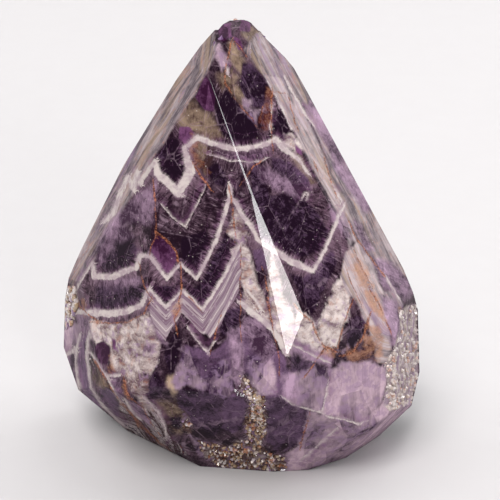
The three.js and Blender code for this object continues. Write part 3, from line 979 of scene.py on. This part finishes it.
# %% Crystals on the tip
TIP_CRYSTALS = [
    (-6.9, -4.9, 120.6, 2.2, 6.2),
    (-1.2, 3.6, 122, 2.4, 6.4),
    (5.2, 2.8, 120.6, 2.2, 5.4),
]
TIP_LEAN = 0.22
TIP_TINT = (0.8, 1)
STONE_TOP = 130.4
for x, y, z, radius, length in TIP_CRYSTALS:
    direction = Vector((random.uniform(-TIP_LEAN, TIP_LEAN), random.uniform(-TIP_LEAN, TIP_LEAN), 1))
    length = min(length, STONE_TOP - z)
    grow_crystal(Vector((x, y, z)), direction.normalized(), radius, length, TIP_OVERHANG, TIP_TINT)
print(len(TIP_CRYSTALS), "larger crystals on the tip")

# %% [markdown]
# Everything that grew together is one stone, so the crystals are joined to it. Then the stone
# moves to where the solid stands, with its place in its mesh.

# %% One stone
bpy.ops.object.select_all(action="DESELECT")
bpy.data.objects.remove(pattern_crystal)
skin = bpy.data.materials.new("polished_chevron_amethyst")
druse = bpy.data.materials.new("small_quartz_crystals")
stone.data.materials.append(skin)
for crystal in crystals:
    crystal.data.materials.append(druse)
    crystal.select_set(True)
stone.select_set(True)
bpy.context.view_layer.objects.active = stone
bpy.ops.object.join()
stone.location = SHIFT
bpy.ops.object.transform_apply(location=True, rotation=True, scale=True)
bpy.ops.object.shade_flat()
triangles = sum(len(face.vertices) - 2 for face in stone.data.polygons)
print("the stone with its crystals:", triangles, "triangles")

# %% [markdown]
# The materials are wired in code. A small helper adds a node and feeds its inputs with numbers,
# colours or other nodes' outputs, which keeps each step of a material on one line.

# %% A helper for wiring
class Wiring:
    """Adds nodes to one tree and links them."""

    def __init__(self, tree):
        self.tree = tree

    def node(self, kind, inputs=None, **settings):
        made = self.tree.nodes.new(kind)
        for name, value in settings.items():
            setattr(made, name, value)
        for key, value in (inputs or {}).items():
            if isinstance(value, bpy.types.NodeSocket):
                self.tree.links.new(value, made.inputs[key])
            else:
                made.inputs[key].default_value = value
        return made

    def math(self, operation, a, b=0.0):
        return self.node("ShaderNodeMath", {0: a, 1: b}, operation=operation).outputs[0]

    def smooth(self, value, start, end):
        """0 at start and 1 at end, smoothly, whichever is the larger."""
        inputs = {"Value": value, "From Min": start, "From Max": end}
        return self.node("ShaderNodeMapRange", inputs, interpolation_type="SMOOTHSTEP").outputs[0]

    def mix(self, factor, a, b):
        made = self.node("ShaderNodeMix", {0: factor, 6: a, 7: b}, data_type="RGBA")
        return made.outputs[2]

    def number(self, name):
        return self.node("ShaderNodeAttribute", attribute_name=name).outputs["Fac"]

    def noise(self, position, scale, detail=3.0, distortion=0.0, harshness=0.55):
        inputs = {
            "Vector": position, "Scale": scale, "Detail": detail,
            "Distortion": distortion, "Roughness": harshness,
        }
        return self.node("ShaderNodeTexNoise", inputs).outputs["Fac"]

    def vector(self, x, y, z=0.0):
        return self.node("ShaderNodeCombineXYZ", {0: x, 1: y, 2: z}).outputs[0]


def colour(red, green, blue):
    return (red, green, blue, 1)


# %% [markdown]
# Every part of the stone shares one grain: broad clouds, middling blotches and fine flecks. It
# is a node group, so the polished skin and the small crystals vary together. Positions go in as
# millimetres.

# %% The grain of the quartz
grain_group = bpy.data.node_groups.new("quartz_grain", "ShaderNodeTree")
grain_group.interface.new_socket("Position", in_out="INPUT", socket_type="NodeSocketVector")
for name in ("Clouds", "Blotches", "Flecks"):
    grain_group.interface.new_socket(name, in_out="OUTPUT", socket_type="NodeSocketFloat")
inside_group = Wiring(grain_group)
group_in = inside_group.node("NodeGroupInput")
group_out = inside_group.node("NodeGroupOutput")
for name, scale, detail, distortion in (
    ("Clouds", 0.085, 3, 0.3), ("Blotches", 0.42, 4, 0.4), ("Flecks", 1.9, 4, 0.2),
):
    made = inside_group.noise(group_in.outputs["Position"], scale, detail, distortion)
    grain_group.links.new(made, group_out.inputs[name])
print("the grain puts out", [item.name for item in grain_group.interface.items_tree if item.in_out == "OUTPUT"])

# %% [markdown]
# The stone is a bundle of crystals that grew upwards side by side. A cell pattern drawn out along
# the height stands for them: each cell has a tone of its own, and its straight borders are the
# seams between crystals. Small round cells of the same kind give white specks, a painted sparkle
# of light caught inside the quartz.

# %% Crystal cells
CELL_STRETCH = 0.5
CELLS_PER_MM = 0.13
SPARKLES_PER_MM = 0.85
cells_group = bpy.data.node_groups.new("crystal_cells", "ShaderNodeTree")
cells_group.interface.new_socket("Position", in_out="INPUT", socket_type="NodeSocketVector")
for name in ("Tone", "Seam", "Sparkle"):
    cells_group.interface.new_socket(name, in_out="OUTPUT", socket_type="NodeSocketFloat")
inside_group = Wiring(cells_group)
group_in = inside_group.node("NodeGroupInput")
group_out = inside_group.node("NodeGroupOutput")
drawn_out = inside_group.node("ShaderNodeMapping", {
    "Vector": group_in.outputs["Position"], "Scale": (1, 1, CELL_STRETCH), "Rotation": (0.12, -0.2, 0.3),
}).outputs[0]
cells = {"Vector": drawn_out, "Scale": CELLS_PER_MM}
cell_colour = inside_group.node("ShaderNodeTexVoronoi", cells).outputs["Color"]
cell_tone = inside_group.node("ShaderNodeSeparateColor", {0: cell_colour}).outputs[0]
border = inside_group.node("ShaderNodeTexVoronoi", cells, feature="DISTANCE_TO_EDGE").outputs["Distance"]
dots = inside_group.node("ShaderNodeTexVoronoi", {"Vector": group_in.outputs["Position"], "Scale": SPARKLES_PER_MM})
picked = inside_group.node("ShaderNodeSeparateColor", {0: dots.outputs["Color"]}).outputs[0]
painted_sparkle = inside_group.math("MULTIPLY", inside_group.smooth(dots.outputs["Distance"], 0.20, 0.10),
                          inside_group.smooth(picked, 0.78, 0.90))
cells_group.links.new(cell_tone, group_out.inputs["Tone"])
cells_group.links.new(inside_group.smooth(border, 0.02, 0.0), group_out.inputs["Seam"])
cells_group.links.new(painted_sparkle, group_out.inputs["Sparkle"])
print("the cells put out", [item.name for item in cells_group.interface.items_tree if item.in_out == "OUTPUT"])

# %% [markdown]
# A patch's mask is soft on the mesh. This group adds some noise and cuts it off sharply, which
# gives the broken edge of a crystal that grew among others.

# %% Ragged edges
ragged_group = bpy.data.node_groups.new("ragged_edge", "ShaderNodeTree")
for name, start in (("Mask", 0.0), ("Noise", 0.5), ("Raggedness", 0.4), ("Blur", 0.2)):
    made = ragged_group.interface.new_socket(name, in_out="INPUT", socket_type="NodeSocketFloat")
    made.default_value = start
ragged_group.interface.new_socket("Patch", in_out="OUTPUT", socket_type="NodeSocketFloat")
inside_group = Wiring(ragged_group)
group_in = inside_group.node("NodeGroupInput")
group_out = inside_group.node("NodeGroupOutput")
shake = inside_group.math("MULTIPLY", inside_group.math("SUBTRACT", group_in.outputs["Noise"], 0.5),
                          group_in.outputs["Raggedness"])
shaken = inside_group.math("ADD", group_in.outputs["Mask"], shake)
outer = inside_group.math("SUBTRACT", 0.5, group_in.outputs["Blur"])
inner = inside_group.math("ADD", 0.5, group_in.outputs["Blur"])
ragged_group.links.new(inside_group.smooth(shaken, outer, inner), group_out.inputs["Patch"])


def group_node(wiring, group, inputs):
    made = wiring.node("ShaderNodeGroup", node_tree=group)
    for name, value in inputs.items():
        if isinstance(value, bpy.types.NodeSocket):
            wiring.tree.links.new(value, made.inputs[name])
        else:
            made.inputs[name].default_value = value
    return made


# %% [markdown]
# The polished skin. Its colours go on in the order in which they lie on the stone: the purple
# ground with its fibres, the whole crystals and stains, a painted sheen on the side bevels, the
# white lines with a few painted glints, and the rusty joints on top, with white specks of painted
# sparkle. The polish is a clear coat over a softer base, as a polished stone has its gloss on the
# surface and its colour below.

# %% Colours of the stone
GROUND = (colour(0.011, 0.004, 0.009), colour(0.139, 0.082, 0.115))
FAMILY_COLOURS = {
    "honey": (colour(0.033, 0.015, 0.016), colour(0.334, 0.242, 0.172)),
    "lilac": (colour(0.033, 0.015, 0.037), colour(0.464, 0.334, 0.396)),
    "purple": (colour(0.009, 0.003, 0.009), colour(0.183, 0.102, 0.189)),
    "violet": (colour(0.025, 0.005, 0.021), colour(0.235, 0.094, 0.215)),
    "milky": (colour(0.106, 0.059, 0.065), colour(0.562, 0.485, 0.464)),
    "misty": (colour(0.035, 0.015, 0.033), colour(0.387, 0.256, 0.360)),
    # The streaked bevels' pale colour is partly a painted sheen of reflected light.
    "streaked_sheen": (colour(0.082, 0.062, 0.075), colour(0.425, 0.351, 0.360)),
    "rust": (colour(0.094, 0.019, 0.010), colour(0.464, 0.249, 0.155)),
    "rough": (colour(0.082, 0.047, 0.047), colour(0.485, 0.415, 0.405)),
}
FAMILY_GRAIN = {
    "honey": 0.9, "lilac": 1.0, "purple": 0.7, "violet": 0.8, "milky": 1.2, "streaked_sheen": 1.4, "misty": 0.9,
    "rust": 1.1, "rough": 1.8,
}
VIOLET_GLOW = colour(0.150, 0.062, 0.134)
MID_MAUVE = colour(0.177, 0.120, 0.160)
STRIPE_WHITE = colour(0.415, 0.351, 0.360)
PALE_MAUVE = colour(0.235, 0.160, 0.208)
WHITE = colour(0.475, 0.415, 0.401)
GREY = colour(0.208, 0.166, 0.177)
PALE_RUST = colour(0.378, 0.139, 0.072)
BROWN = colour(0.082, 0.026, 0.015)
JET = colour(0.004, 0.002, 0.003)
LILAC = colour(0.235, 0.150, 0.249)
PALE_HONEY = colour(0.317, 0.221, 0.139)
DRUSE_BROWN = colour(0.082, 0.037, 0.023)
BRIGHT_VIOLET = colour(0.090, 0.019, 0.120)
COAT = 0.32
GLANCING_COAT = 0.2
COAT_ROUGHNESS = 0.035
QUARTZ_IOR = 1.54


# %% Start and finish a material
def start_material(material):
    material.use_nodes = True
    material.node_tree.nodes.clear()
    wiring = Wiring(material.node_tree)
    coordinates_node = wiring.node("ShaderNodeTexCoord")
    in_mm = wiring.node("ShaderNodeMapping", {
        "Vector": coordinates_node.outputs["Object"],
        "Scale": (1 / MM, 1 / MM, 1 / MM),
    }).outputs[0]
    return wiring, in_mm, group_node(wiring, grain_group, {"Position": in_mm}).outputs


def finish_material(wiring, inputs):
    surface = wiring.node("ShaderNodeBsdfPrincipled", inputs)
    output = wiring.node("ShaderNodeOutputMaterial")
    wiring.tree.links.new(surface.outputs[0], output.inputs["Surface"])


# %% Polished skin
LINE_MISS = 2.5
w, position, grain = start_material(skin)
clouds, blotches, flecks = grain["Clouds"], grain["Blotches"], grain["Flecks"]
along, below = w.number("along"), w.number("below")


def ragged(name, noise_value, raggedness, blur):
    inputs = {"Mask": w.number(name), "Noise": noise_value, "Raggedness": raggedness, "Blur": blur}
    return group_node(w, ragged_group, inputs).outputs["Patch"]


def line_edge(name, noise_value, amount):
    """Distance outside a line's painted edge, negative on the line, with a shaken edge."""
    close = w.math("SUBTRACT", w.number(name + "_reach"), LINE_MISS)
    distance = w.math("MAXIMUM", w.math("ABSOLUTE", w.number(name + "_side")), close)
    shake = w.math("MULTIPLY", w.math("SUBTRACT", noise_value, 0.5), amount)
    return w.math("SUBTRACT", w.math("ADD", distance, shake), w.number(name + "_width"))


def toned(name, grain_value):
    """A family's colour: the patch's own tone, made uneven by a grain."""
    uneven = w.math("MULTIPLY", w.math("SUBTRACT", grain_value, 0.5), FAMILY_GRAIN[name] * 2)
    level = w.math("ADD", w.number(name + "_tone"), uneven)
    clamped = w.node("ShaderNodeClamp", {"Value": level}).outputs[0]
    return w.mix(clamped, *FAMILY_COLOURS[name])


def add_patch(under, name, edge_noise, raggedness, blur, grain_value):
    return w.mix(ragged(name, edge_noise, raggedness, blur), under, toned(name, grain_value))


cells = group_node(w, cells_group, {"Position": position}).outputs
wander = w.math("MULTIPLY", blotches, 3)
growing = w.math("ADD", along, wander)
fibres = w.noise(w.vector(w.math("MULTIPLY", growing, 0.50), w.math("MULTIPLY", below, 0.07)), 1.0, 3, 0.2, 0.6)
strokes = w.noise(w.vector(w.math("MULTIPLY", growing, 0.62), w.math("MULTIPLY", below, 0.10), 7.0), 1.0, 1, 0.3, 0.5)
streaky = w.node("ShaderNodeMapping", {"Vector": position, "Scale": (1, 1, 0.6)}).outputs[0]
mottle = w.noise(streaky, 0.34, 5, 0.9, 0.62)
broad = w.node("ShaderNodeMapping", {"Vector": position, "Scale": (0.55, 0.7, 1)}).outputs[0]
marbled = w.noise(broad, 0.40, 5, 0.35, 0.64)
drawn_fine = w.node("ShaderNodeMapping", {"Vector": position, "Scale": (1.6, 1.6, 0.25)}).outputs[0]
streaks = w.noise(drawn_fine, 1.0, 4, 0.3, 0.6)


def weighed(*parts):
    """The sum of values, each counted from its middle, 0.5, times its weight, plus 0.5."""
    total = 0.5
    for value, weight in parts:
        total = w.math("ADD", total, w.math("MULTIPLY", w.math("SUBTRACT", value, 0.5), weight))
    return total


below_band = w.math("MULTIPLY", w.smooth(below, 24, 3), w.smooth(below, -1, 1))
tone = weighed((fibres, 0.7), (mottle, 0.7), (flecks, 0.4), (cells["Tone"], 0.14), (below_band, 0.16))
cloudy = weighed((clouds, 0.9), (blotches, 0.6), (cells["Tone"], 0.22), (flecks, 0.25), (streaks, 0.35))
stroke = w.math("MULTIPLY", w.smooth(strokes, 0.56, 0.70), w.smooth(mottle, 0.42, 0.60))

skin_colour = w.mix(w.smooth(tone, 0.26, 0.80), *GROUND)
skin_colour = w.mix(w.math("MULTIPLY", stroke, 0.60), skin_colour, PALE_MAUVE)

skin_colour = add_patch(skin_colour, "honey", mottle, 0.8, 0.30, cloudy)
skin_colour = add_patch(skin_colour, "purple", mottle, 0.7, 0.18, tone)
crystalline = weighed((clouds, 0.8), (cells["Tone"], 0.34), (mottle, 0.5), (streaks, 0.25))
lilac_tone = toned("lilac", crystalline)
lilac_tone = w.mix(w.math("MULTIPLY", w.smooth(blotches, 0.46, 0.60), 0.5), lilac_tone, LILAC)
lilac_tone = w.mix(w.math("MULTIPLY", w.smooth(marbled, 0.44, 0.34), 0.4), lilac_tone, MID_MAUVE)
skin_colour = w.mix(ragged("lilac", mottle, 0.9, 0.3), skin_colour, lilac_tone)
skin_colour = w.mix(w.math("MULTIPLY", stroke, 0.40), skin_colour, PALE_MAUVE)
seams = w.math("MULTIPLY", cells["Seam"], w.smooth(blotches, 0.42, 0.60))
skin_colour = w.mix(w.math("MULTIPLY", seams, 0.42), skin_colour, PALE_MAUVE)

milky_tone = toned("milky", weighed((marbled, 1.3), (flecks, 0.25)))
milky_tone = w.mix(w.math("MULTIPLY", w.smooth(blotches, 0.54, 0.66), 0.6), milky_tone, LILAC)
milky_tone = w.mix(w.math("MULTIPLY", w.smooth(blotches, 0.44, 0.34), 0.25), milky_tone, PALE_RUST)
milky_tone = w.mix(w.math("MULTIPLY", w.smooth(marbled, 0.42, 0.30), 0.6), milky_tone, GROUND[1])
milky_patch = ragged("milky", mottle, 1.0, 0.2)
skin_colour = w.mix(milky_patch, skin_colour, milky_tone)
skin_colour = add_patch(skin_colour, "violet", mottle, 0.4, 0.18, cloudy)

# The side bevels' own streaks, laid over a pale base that is a painted sheen of reflected light.
bevel_place = w.vector(w.math("MULTIPLY", w.number("across"), 0.20), w.math("MULTIPLY", w.number("down"), 0.018))
bevel_streaks = w.noise(bevel_place, 1.0, 5, 0.6, 0.62)
bevel_tints = w.noise(bevel_place, 0.55, 3, 0.5, 0.5)
streaked_sheen_tone = toned("streaked_sheen", weighed((bevel_streaks, 1.0), (blotches, 0.3)))
streaked_sheen_tone = w.mix(w.math("MULTIPLY", w.smooth(bevel_tints, 0.56, 0.66), 0.5), streaked_sheen_tone, LILAC)
streaked_sheen_tone = w.mix(w.math("MULTIPLY", w.smooth(bevel_tints, 0.46, 0.36), 0.45), streaked_sheen_tone, PALE_HONEY)
bevel_line = w.smooth(w.math("ABSOLUTE", w.math("SUBTRACT", bevel_streaks, 0.53)), 0.012, 0.0)
streaked_sheen_tone = w.mix(w.math("MULTIPLY", bevel_line, 0.55), streaked_sheen_tone, PALE_RUST)
skin_colour = w.mix(ragged("streaked_sheen", mottle, 0.5, 0.25), skin_colour, streaked_sheen_tone)
skin_colour = add_patch(skin_colour, "misty", mottle, 1.0, 0.32, weighed((cloudy, 1.0), (fibres, 0.4)))

stripe = w.math("ADD", w.number("stripe"), w.math("MULTIPLY", blotches, 1.2))
stripe_place = w.vector(w.math("MULTIPLY", stripe, 0.14), w.math("MULTIPLY", clouds, 0.8))
stripes = w.noise(stripe_place, 1.0, 1, 0.0, 0.5)
stripe_tone = w.mix(w.smooth(stripes, 0.40, 0.62), MID_MAUVE, STRIPE_WHITE)
for level in (0.43, 0.56):
    stripe_line = w.smooth(w.math("ABSOLUTE", w.math("SUBTRACT", stripes, level)), 0.022, 0.006)
    stripe_tone = w.mix(w.math("MULTIPLY", stripe_line, w.smooth(blotches, 0.25, 0.50)), stripe_tone, GROUND[1])
stripe_tone = w.mix(w.smooth(mottle, 0.58, 0.70), stripe_tone, PALE_MAUVE)
skin_colour = w.mix(ragged("striped", flecks, 0.4, 0.15), skin_colour, stripe_tone)

layer_place = w.vector(w.math("MULTIPLY", w.number("layer"), 0.13), w.math("MULTIPLY", mottle, 1.2))
layers = w.noise(layer_place, 1.0, 3, 0.2, 0.6)
layer_tone = w.mix(w.smooth(layers, 0.36, 0.44), GROUND[1], FAMILY_COLOURS["honey"][0])
layer_tone = w.mix(w.smooth(layers, 0.46, 0.50), layer_tone, GREY)
layer_tone = w.mix(w.smooth(layers, 0.53, 0.55), layer_tone, WHITE)
layer_tone = w.mix(w.smooth(layers, 0.56, 0.58), layer_tone, FAMILY_COLOURS["lilac"][0])
layer_tone = w.mix(w.smooth(layers, 0.61, 0.64), layer_tone, PALE_RUST)
skin_colour = w.mix(ragged("layered", mottle, 0.6, 0.25), skin_colour, layer_tone)
skin_colour = w.mix(ragged("jet", flecks, 0.4, 0.25), skin_colour, JET)

rust_patch = w.math("MULTIPLY", ragged("rust", marbled, 1.2, 0.3), w.smooth(marbled, 0.34, 0.54))
rust_tone = toned("rust", weighed((marbled, 1), (flecks, 0.4)))
skin_colour = w.mix(w.math("MULTIPLY", rust_patch, 0.65), skin_colour, rust_tone)

glow = w.math("MULTIPLY", w.smooth(w.number("white_side"), -11, -2), w.smooth(w.number("white_side"), 1.0, -1.0))
glow = w.math("MULTIPLY", glow, w.smooth(weighed((fibres, 1.0), (blotches, 0.6)), 0.36, 0.66))
skin_colour = w.mix(w.math("MULTIPLY", glow, 0.5), skin_colour, VIOLET_GLOW)
# The white lines carry the painted glints too: short white marks of light on small chips.
white_edge = line_edge("white", weighed((flecks, 0.7), (blotches, 0.6)), 4.5)
white_core = w.math("MULTIPLY", w.smooth(white_edge, 0.8, -0.8), w.smooth(mottle, 0.10, 0.45))
fluff_edge = w.math("ADD", white_edge, w.math("MULTIPLY", w.math("SUBTRACT", 0.5, fibres), 5.0))
fluff_above = w.math("MULTIPLY", w.smooth(fluff_edge, 2.8, -1.0), w.smooth(w.number("white_side"), 1.0, -1.5))
dusty = w.math("MULTIPLY", w.smooth(weighed((mottle, 0.8), (marbled, 0.8)), 0.40, 0.64), 0.65)
white_tone = w.mix(dusty, WHITE, PALE_MAUVE)
fluff_around = w.math("MULTIPLY", w.smooth(white_edge, 5.0, 0.0), w.smooth(tone, 0.40, 0.70))
skin_colour = w.mix(w.math("MULTIPLY", fluff_around, 0.35), skin_colour, PALE_MAUVE)
skin_colour = w.mix(w.math("MULTIPLY", fluff_above, 0.6), skin_colour, white_tone)
skin_colour = w.mix(white_core, skin_colour, white_tone)

rusty_edge = line_edge("rusty", blotches, 1.9)
rusty_line = w.math("MULTIPLY", w.smooth(rusty_edge, 0.5, -0.6), w.smooth(mottle, 0.34, 0.54))
rusty_tone = w.mix(w.smooth(flecks, 0.42, 0.62), BROWN, PALE_RUST)
skin_colour = w.mix(w.math("MULTIPLY", rusty_line, 0.8), skin_colour, rusty_tone)
# Painted sparkle: white specks that stand in for light caught inside the quartz.
skin_colour = w.mix(w.math("MULTIPLY", cells["Sparkle"], 0.55), skin_colour, WHITE)

rough_patch = ragged("rough", flecks, 1.0, 0.2)
rough_tone = toned("rough", weighed((marbled, 0.7), (blotches, 0.4), (flecks, 0.25)))
rough_tone = w.mix(w.math("MULTIPLY", w.smooth(mottle, 0.46, 0.60), 0.6), rough_tone, LILAC)
skin_colour = w.mix(rough_patch, skin_colour, rough_tone)

waviness = w.math("MULTIPLY", clouds, 0.25)
relief = w.math("ADD", waviness, w.math("MULTIPLY", rough_patch, flecks))
bump = w.node("ShaderNodeBump", {"Height": relief, "Strength": 0.5, "Distance": 0.0005})
glancing = w.node("ShaderNodeLayerWeight", {"Blend": 0.5}).outputs["Facing"]
gloss = w.math("SUBTRACT", COAT, w.math("MULTIPLY", glancing, COAT - GLANCING_COAT / 2))
finish_material(w, {
    "Base Color": skin_colour,
    "Roughness": w.math("ADD", 0.32, w.math("MULTIPLY", rough_patch, 0.12)),
    "IOR": QUARTZ_IOR,
    "Specular IOR Level": 0.0,
    "Normal": bump.outputs[0],
    "Coat Weight": w.math("SUBTRACT", gloss, w.math("MULTIPLY", rough_patch, GLANCING_COAT / 2)),
    "Coat Roughness": COAT_ROUGHNESS,
    "Coat IOR": QUARTZ_IOR,
})
print("polished skin:", len(skin.node_tree.nodes), "nodes")

# %% [markdown]
# The small crystals are clearer and cleaner than the skin. Each has a tint of its own, from
# smoky brown through milky white to lilac, and a few are stained with rust. The white tint is
# partly milky quartz and partly painted glints on the crystals' faces.

# %% Small crystals
w, position, grain = start_material(druse)
tint = w.number("tint")
crystal_colour = w.mix(w.smooth(tint, 0.25, 0.55), DRUSE_BROWN, PALE_HONEY)
# White: partly milky quartz, partly painted glints on the small crystals.
crystal_colour = w.mix(w.smooth(tint, 0.55, 0.70), crystal_colour, WHITE)
crystal_colour = w.mix(w.smooth(tint, 0.78, 0.84), crystal_colour, LILAC)
crystal_colour = w.mix(w.smooth(tint, 0.90, 0.95), crystal_colour, BRIGHT_VIOLET)
crystal_colour = w.mix(w.math("MULTIPLY", w.smooth(grain["Blotches"], 0.52, 0.64), 0.6), crystal_colour, PALE_RUST)
finish_material(w, {
    "Base Color": crystal_colour,
    "Roughness": w.math("ADD", 0.12, w.math("MULTIPLY", grain["Flecks"], 0.2)),
    "IOR": QUARTZ_IOR,
    "Coat Weight": COAT,
    "Coat Roughness": COAT_ROUGHNESS,
    "Coat IOR": QUARTZ_IOR,
})
print("small crystals:", len(druse.node_tree.nodes), "nodes")

# %% [markdown]
# A plain pale floor and soft studio light. The front ridge and the small kite below it mirror a
# card beside the camera, as they do in the photograph, so that card is small, and the faces beside it
# stay dark enough to show the bands.

# %% Floor
FLOOR_SIZE = 8
FLOOR_PALE = colour(0.48, 0.472, 0.478)
bpy.ops.object.select_all(action="DESELECT")
bpy.ops.mesh.primitive_plane_add(size=FLOOR_SIZE, location=(0, 0, 0))
floor = bpy.context.object
floor.name = "floor"
floor_paper = bpy.data.materials.new("pale_paper")
floor.data.materials.append(floor_paper)
w, position, grain = start_material(floor_paper)
finish_material(w, {
    "Base Color": w.mix(w.math("MULTIPLY", grain["Clouds"], 0.06), FLOOR_PALE, GREY),
    "Roughness": 0.8,
})

# %% Lights
WORLD_SEEN = colour(0.86, 0.85, 0.86)
WORLD_FELT = colour(0.13, 0.13, 0.135)
WARM_WHITE = (1, 0.94, 0.92)
SOFT_WARM = (1, 0.965, 0.95)
GLOSS_CARD_POWER = 1.6
FILL_POWER = 8.4
bpy.context.scene.view_settings.view_transform = "Standard"
stone_middle = Vector((0, 0, 0.06))


def area_light(name, place, size, power):
    """A square soft light that faces the stone's middle and that the camera doesn't see."""
    bpy.ops.object.light_add(type="AREA", location=place)
    light = bpy.context.object
    light.name = name
    light.rotation_euler = (stone_middle - light.location).to_track_quat("-Z", "Y").to_euler()
    light.data.size = size
    light.data.energy = power
    light.visible_camera = False
    return light


def mirrored(pixel, azimuth, lean, distance_from_heart, reach):
    """Where a card has to stand for a facet to show it at a pixel of the picture."""
    across = (pixel[0] - PICTURE / 2) / FOCAL_PIXELS
    down = (pixel[1] - PICTURE / 2) / FOCAL_PIXELS
    ray = (looking + Vector((across, 0, 0)) - upwards * down).normalized()
    normal = facing(azimuth, lean)
    point_on_facet = HEART + normal * distance_from_heart
    away = (point_on_facet - eye).dot(normal) / ray.dot(normal)
    hit = eye + ray * away
    bounced = ray - normal * 2 * ray.dot(normal)
    return hit * MM + SHIFT + bounced * reach


bpy.ops.object.light_add(type="SUN", location=(0, 0, 2))
sun = bpy.context.object
sun.name = "soft_sun"
sun.rotation_euler = facing(-20, 55).to_track_quat("Z", "Y").to_euler()
sun.data.energy = 2.7
sun.data.color = SOFT_WARM
sun.data.angle = math.radians(30)
kite_card = area_light("kite_card", mirrored((288, 312), 6, 18, 40, 1.0), 0.11, 1.5)
kite_card.data.color = WARM_WHITE
area_light("ridge_card", mirrored((240, 170), 9.5, 21, 41.5, 1.0), 0.16, 2.6)
area_light("kite_tip_card", mirrored((261, 214), 6, 18, 40, 1.0), 0.045, 0.25)
area_light("right_card", stone_middle + facing(118, 12) * 1.4, 0.9, 6)
for name, azimuth, height in (("left_fill", -100, 62), ("right_fill", 110, 62), ("back_fill", 180, 66)):
    area_light(name, stone_middle + facing(azimuth, height) * 1.6, 1.2, FILL_POWER)

for azimuth, height in ((130, 36), (103, 25), (-108, 27), (-134, 31)):
    area_light("gloss_card", stone_middle + facing(azimuth, height) * 1.3, 0.3, GLOSS_CARD_POWER)

world = bpy.data.worlds.new("studio")
bpy.context.scene.world = world
world.use_nodes = True
world.node_tree.nodes.clear()
w = Wiring(world.node_tree)
seen = w.node("ShaderNodeLightPath").outputs["Is Camera Ray"]
background = w.node("ShaderNodeBackground", {"Color": w.mix(seen, WORLD_FELT, WORLD_SEEN)})
world_output = w.node("ShaderNodeOutputWorld")
world.node_tree.links.new(background.outputs[0], world_output.inputs["Surface"])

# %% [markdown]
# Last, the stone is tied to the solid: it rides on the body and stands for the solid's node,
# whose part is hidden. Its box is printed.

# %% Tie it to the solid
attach(stone, "root")
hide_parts(NODE)
floor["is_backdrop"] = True
low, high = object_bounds()
print("visual box in millimetres:", [round(v / MM, 2) for v in high - low])
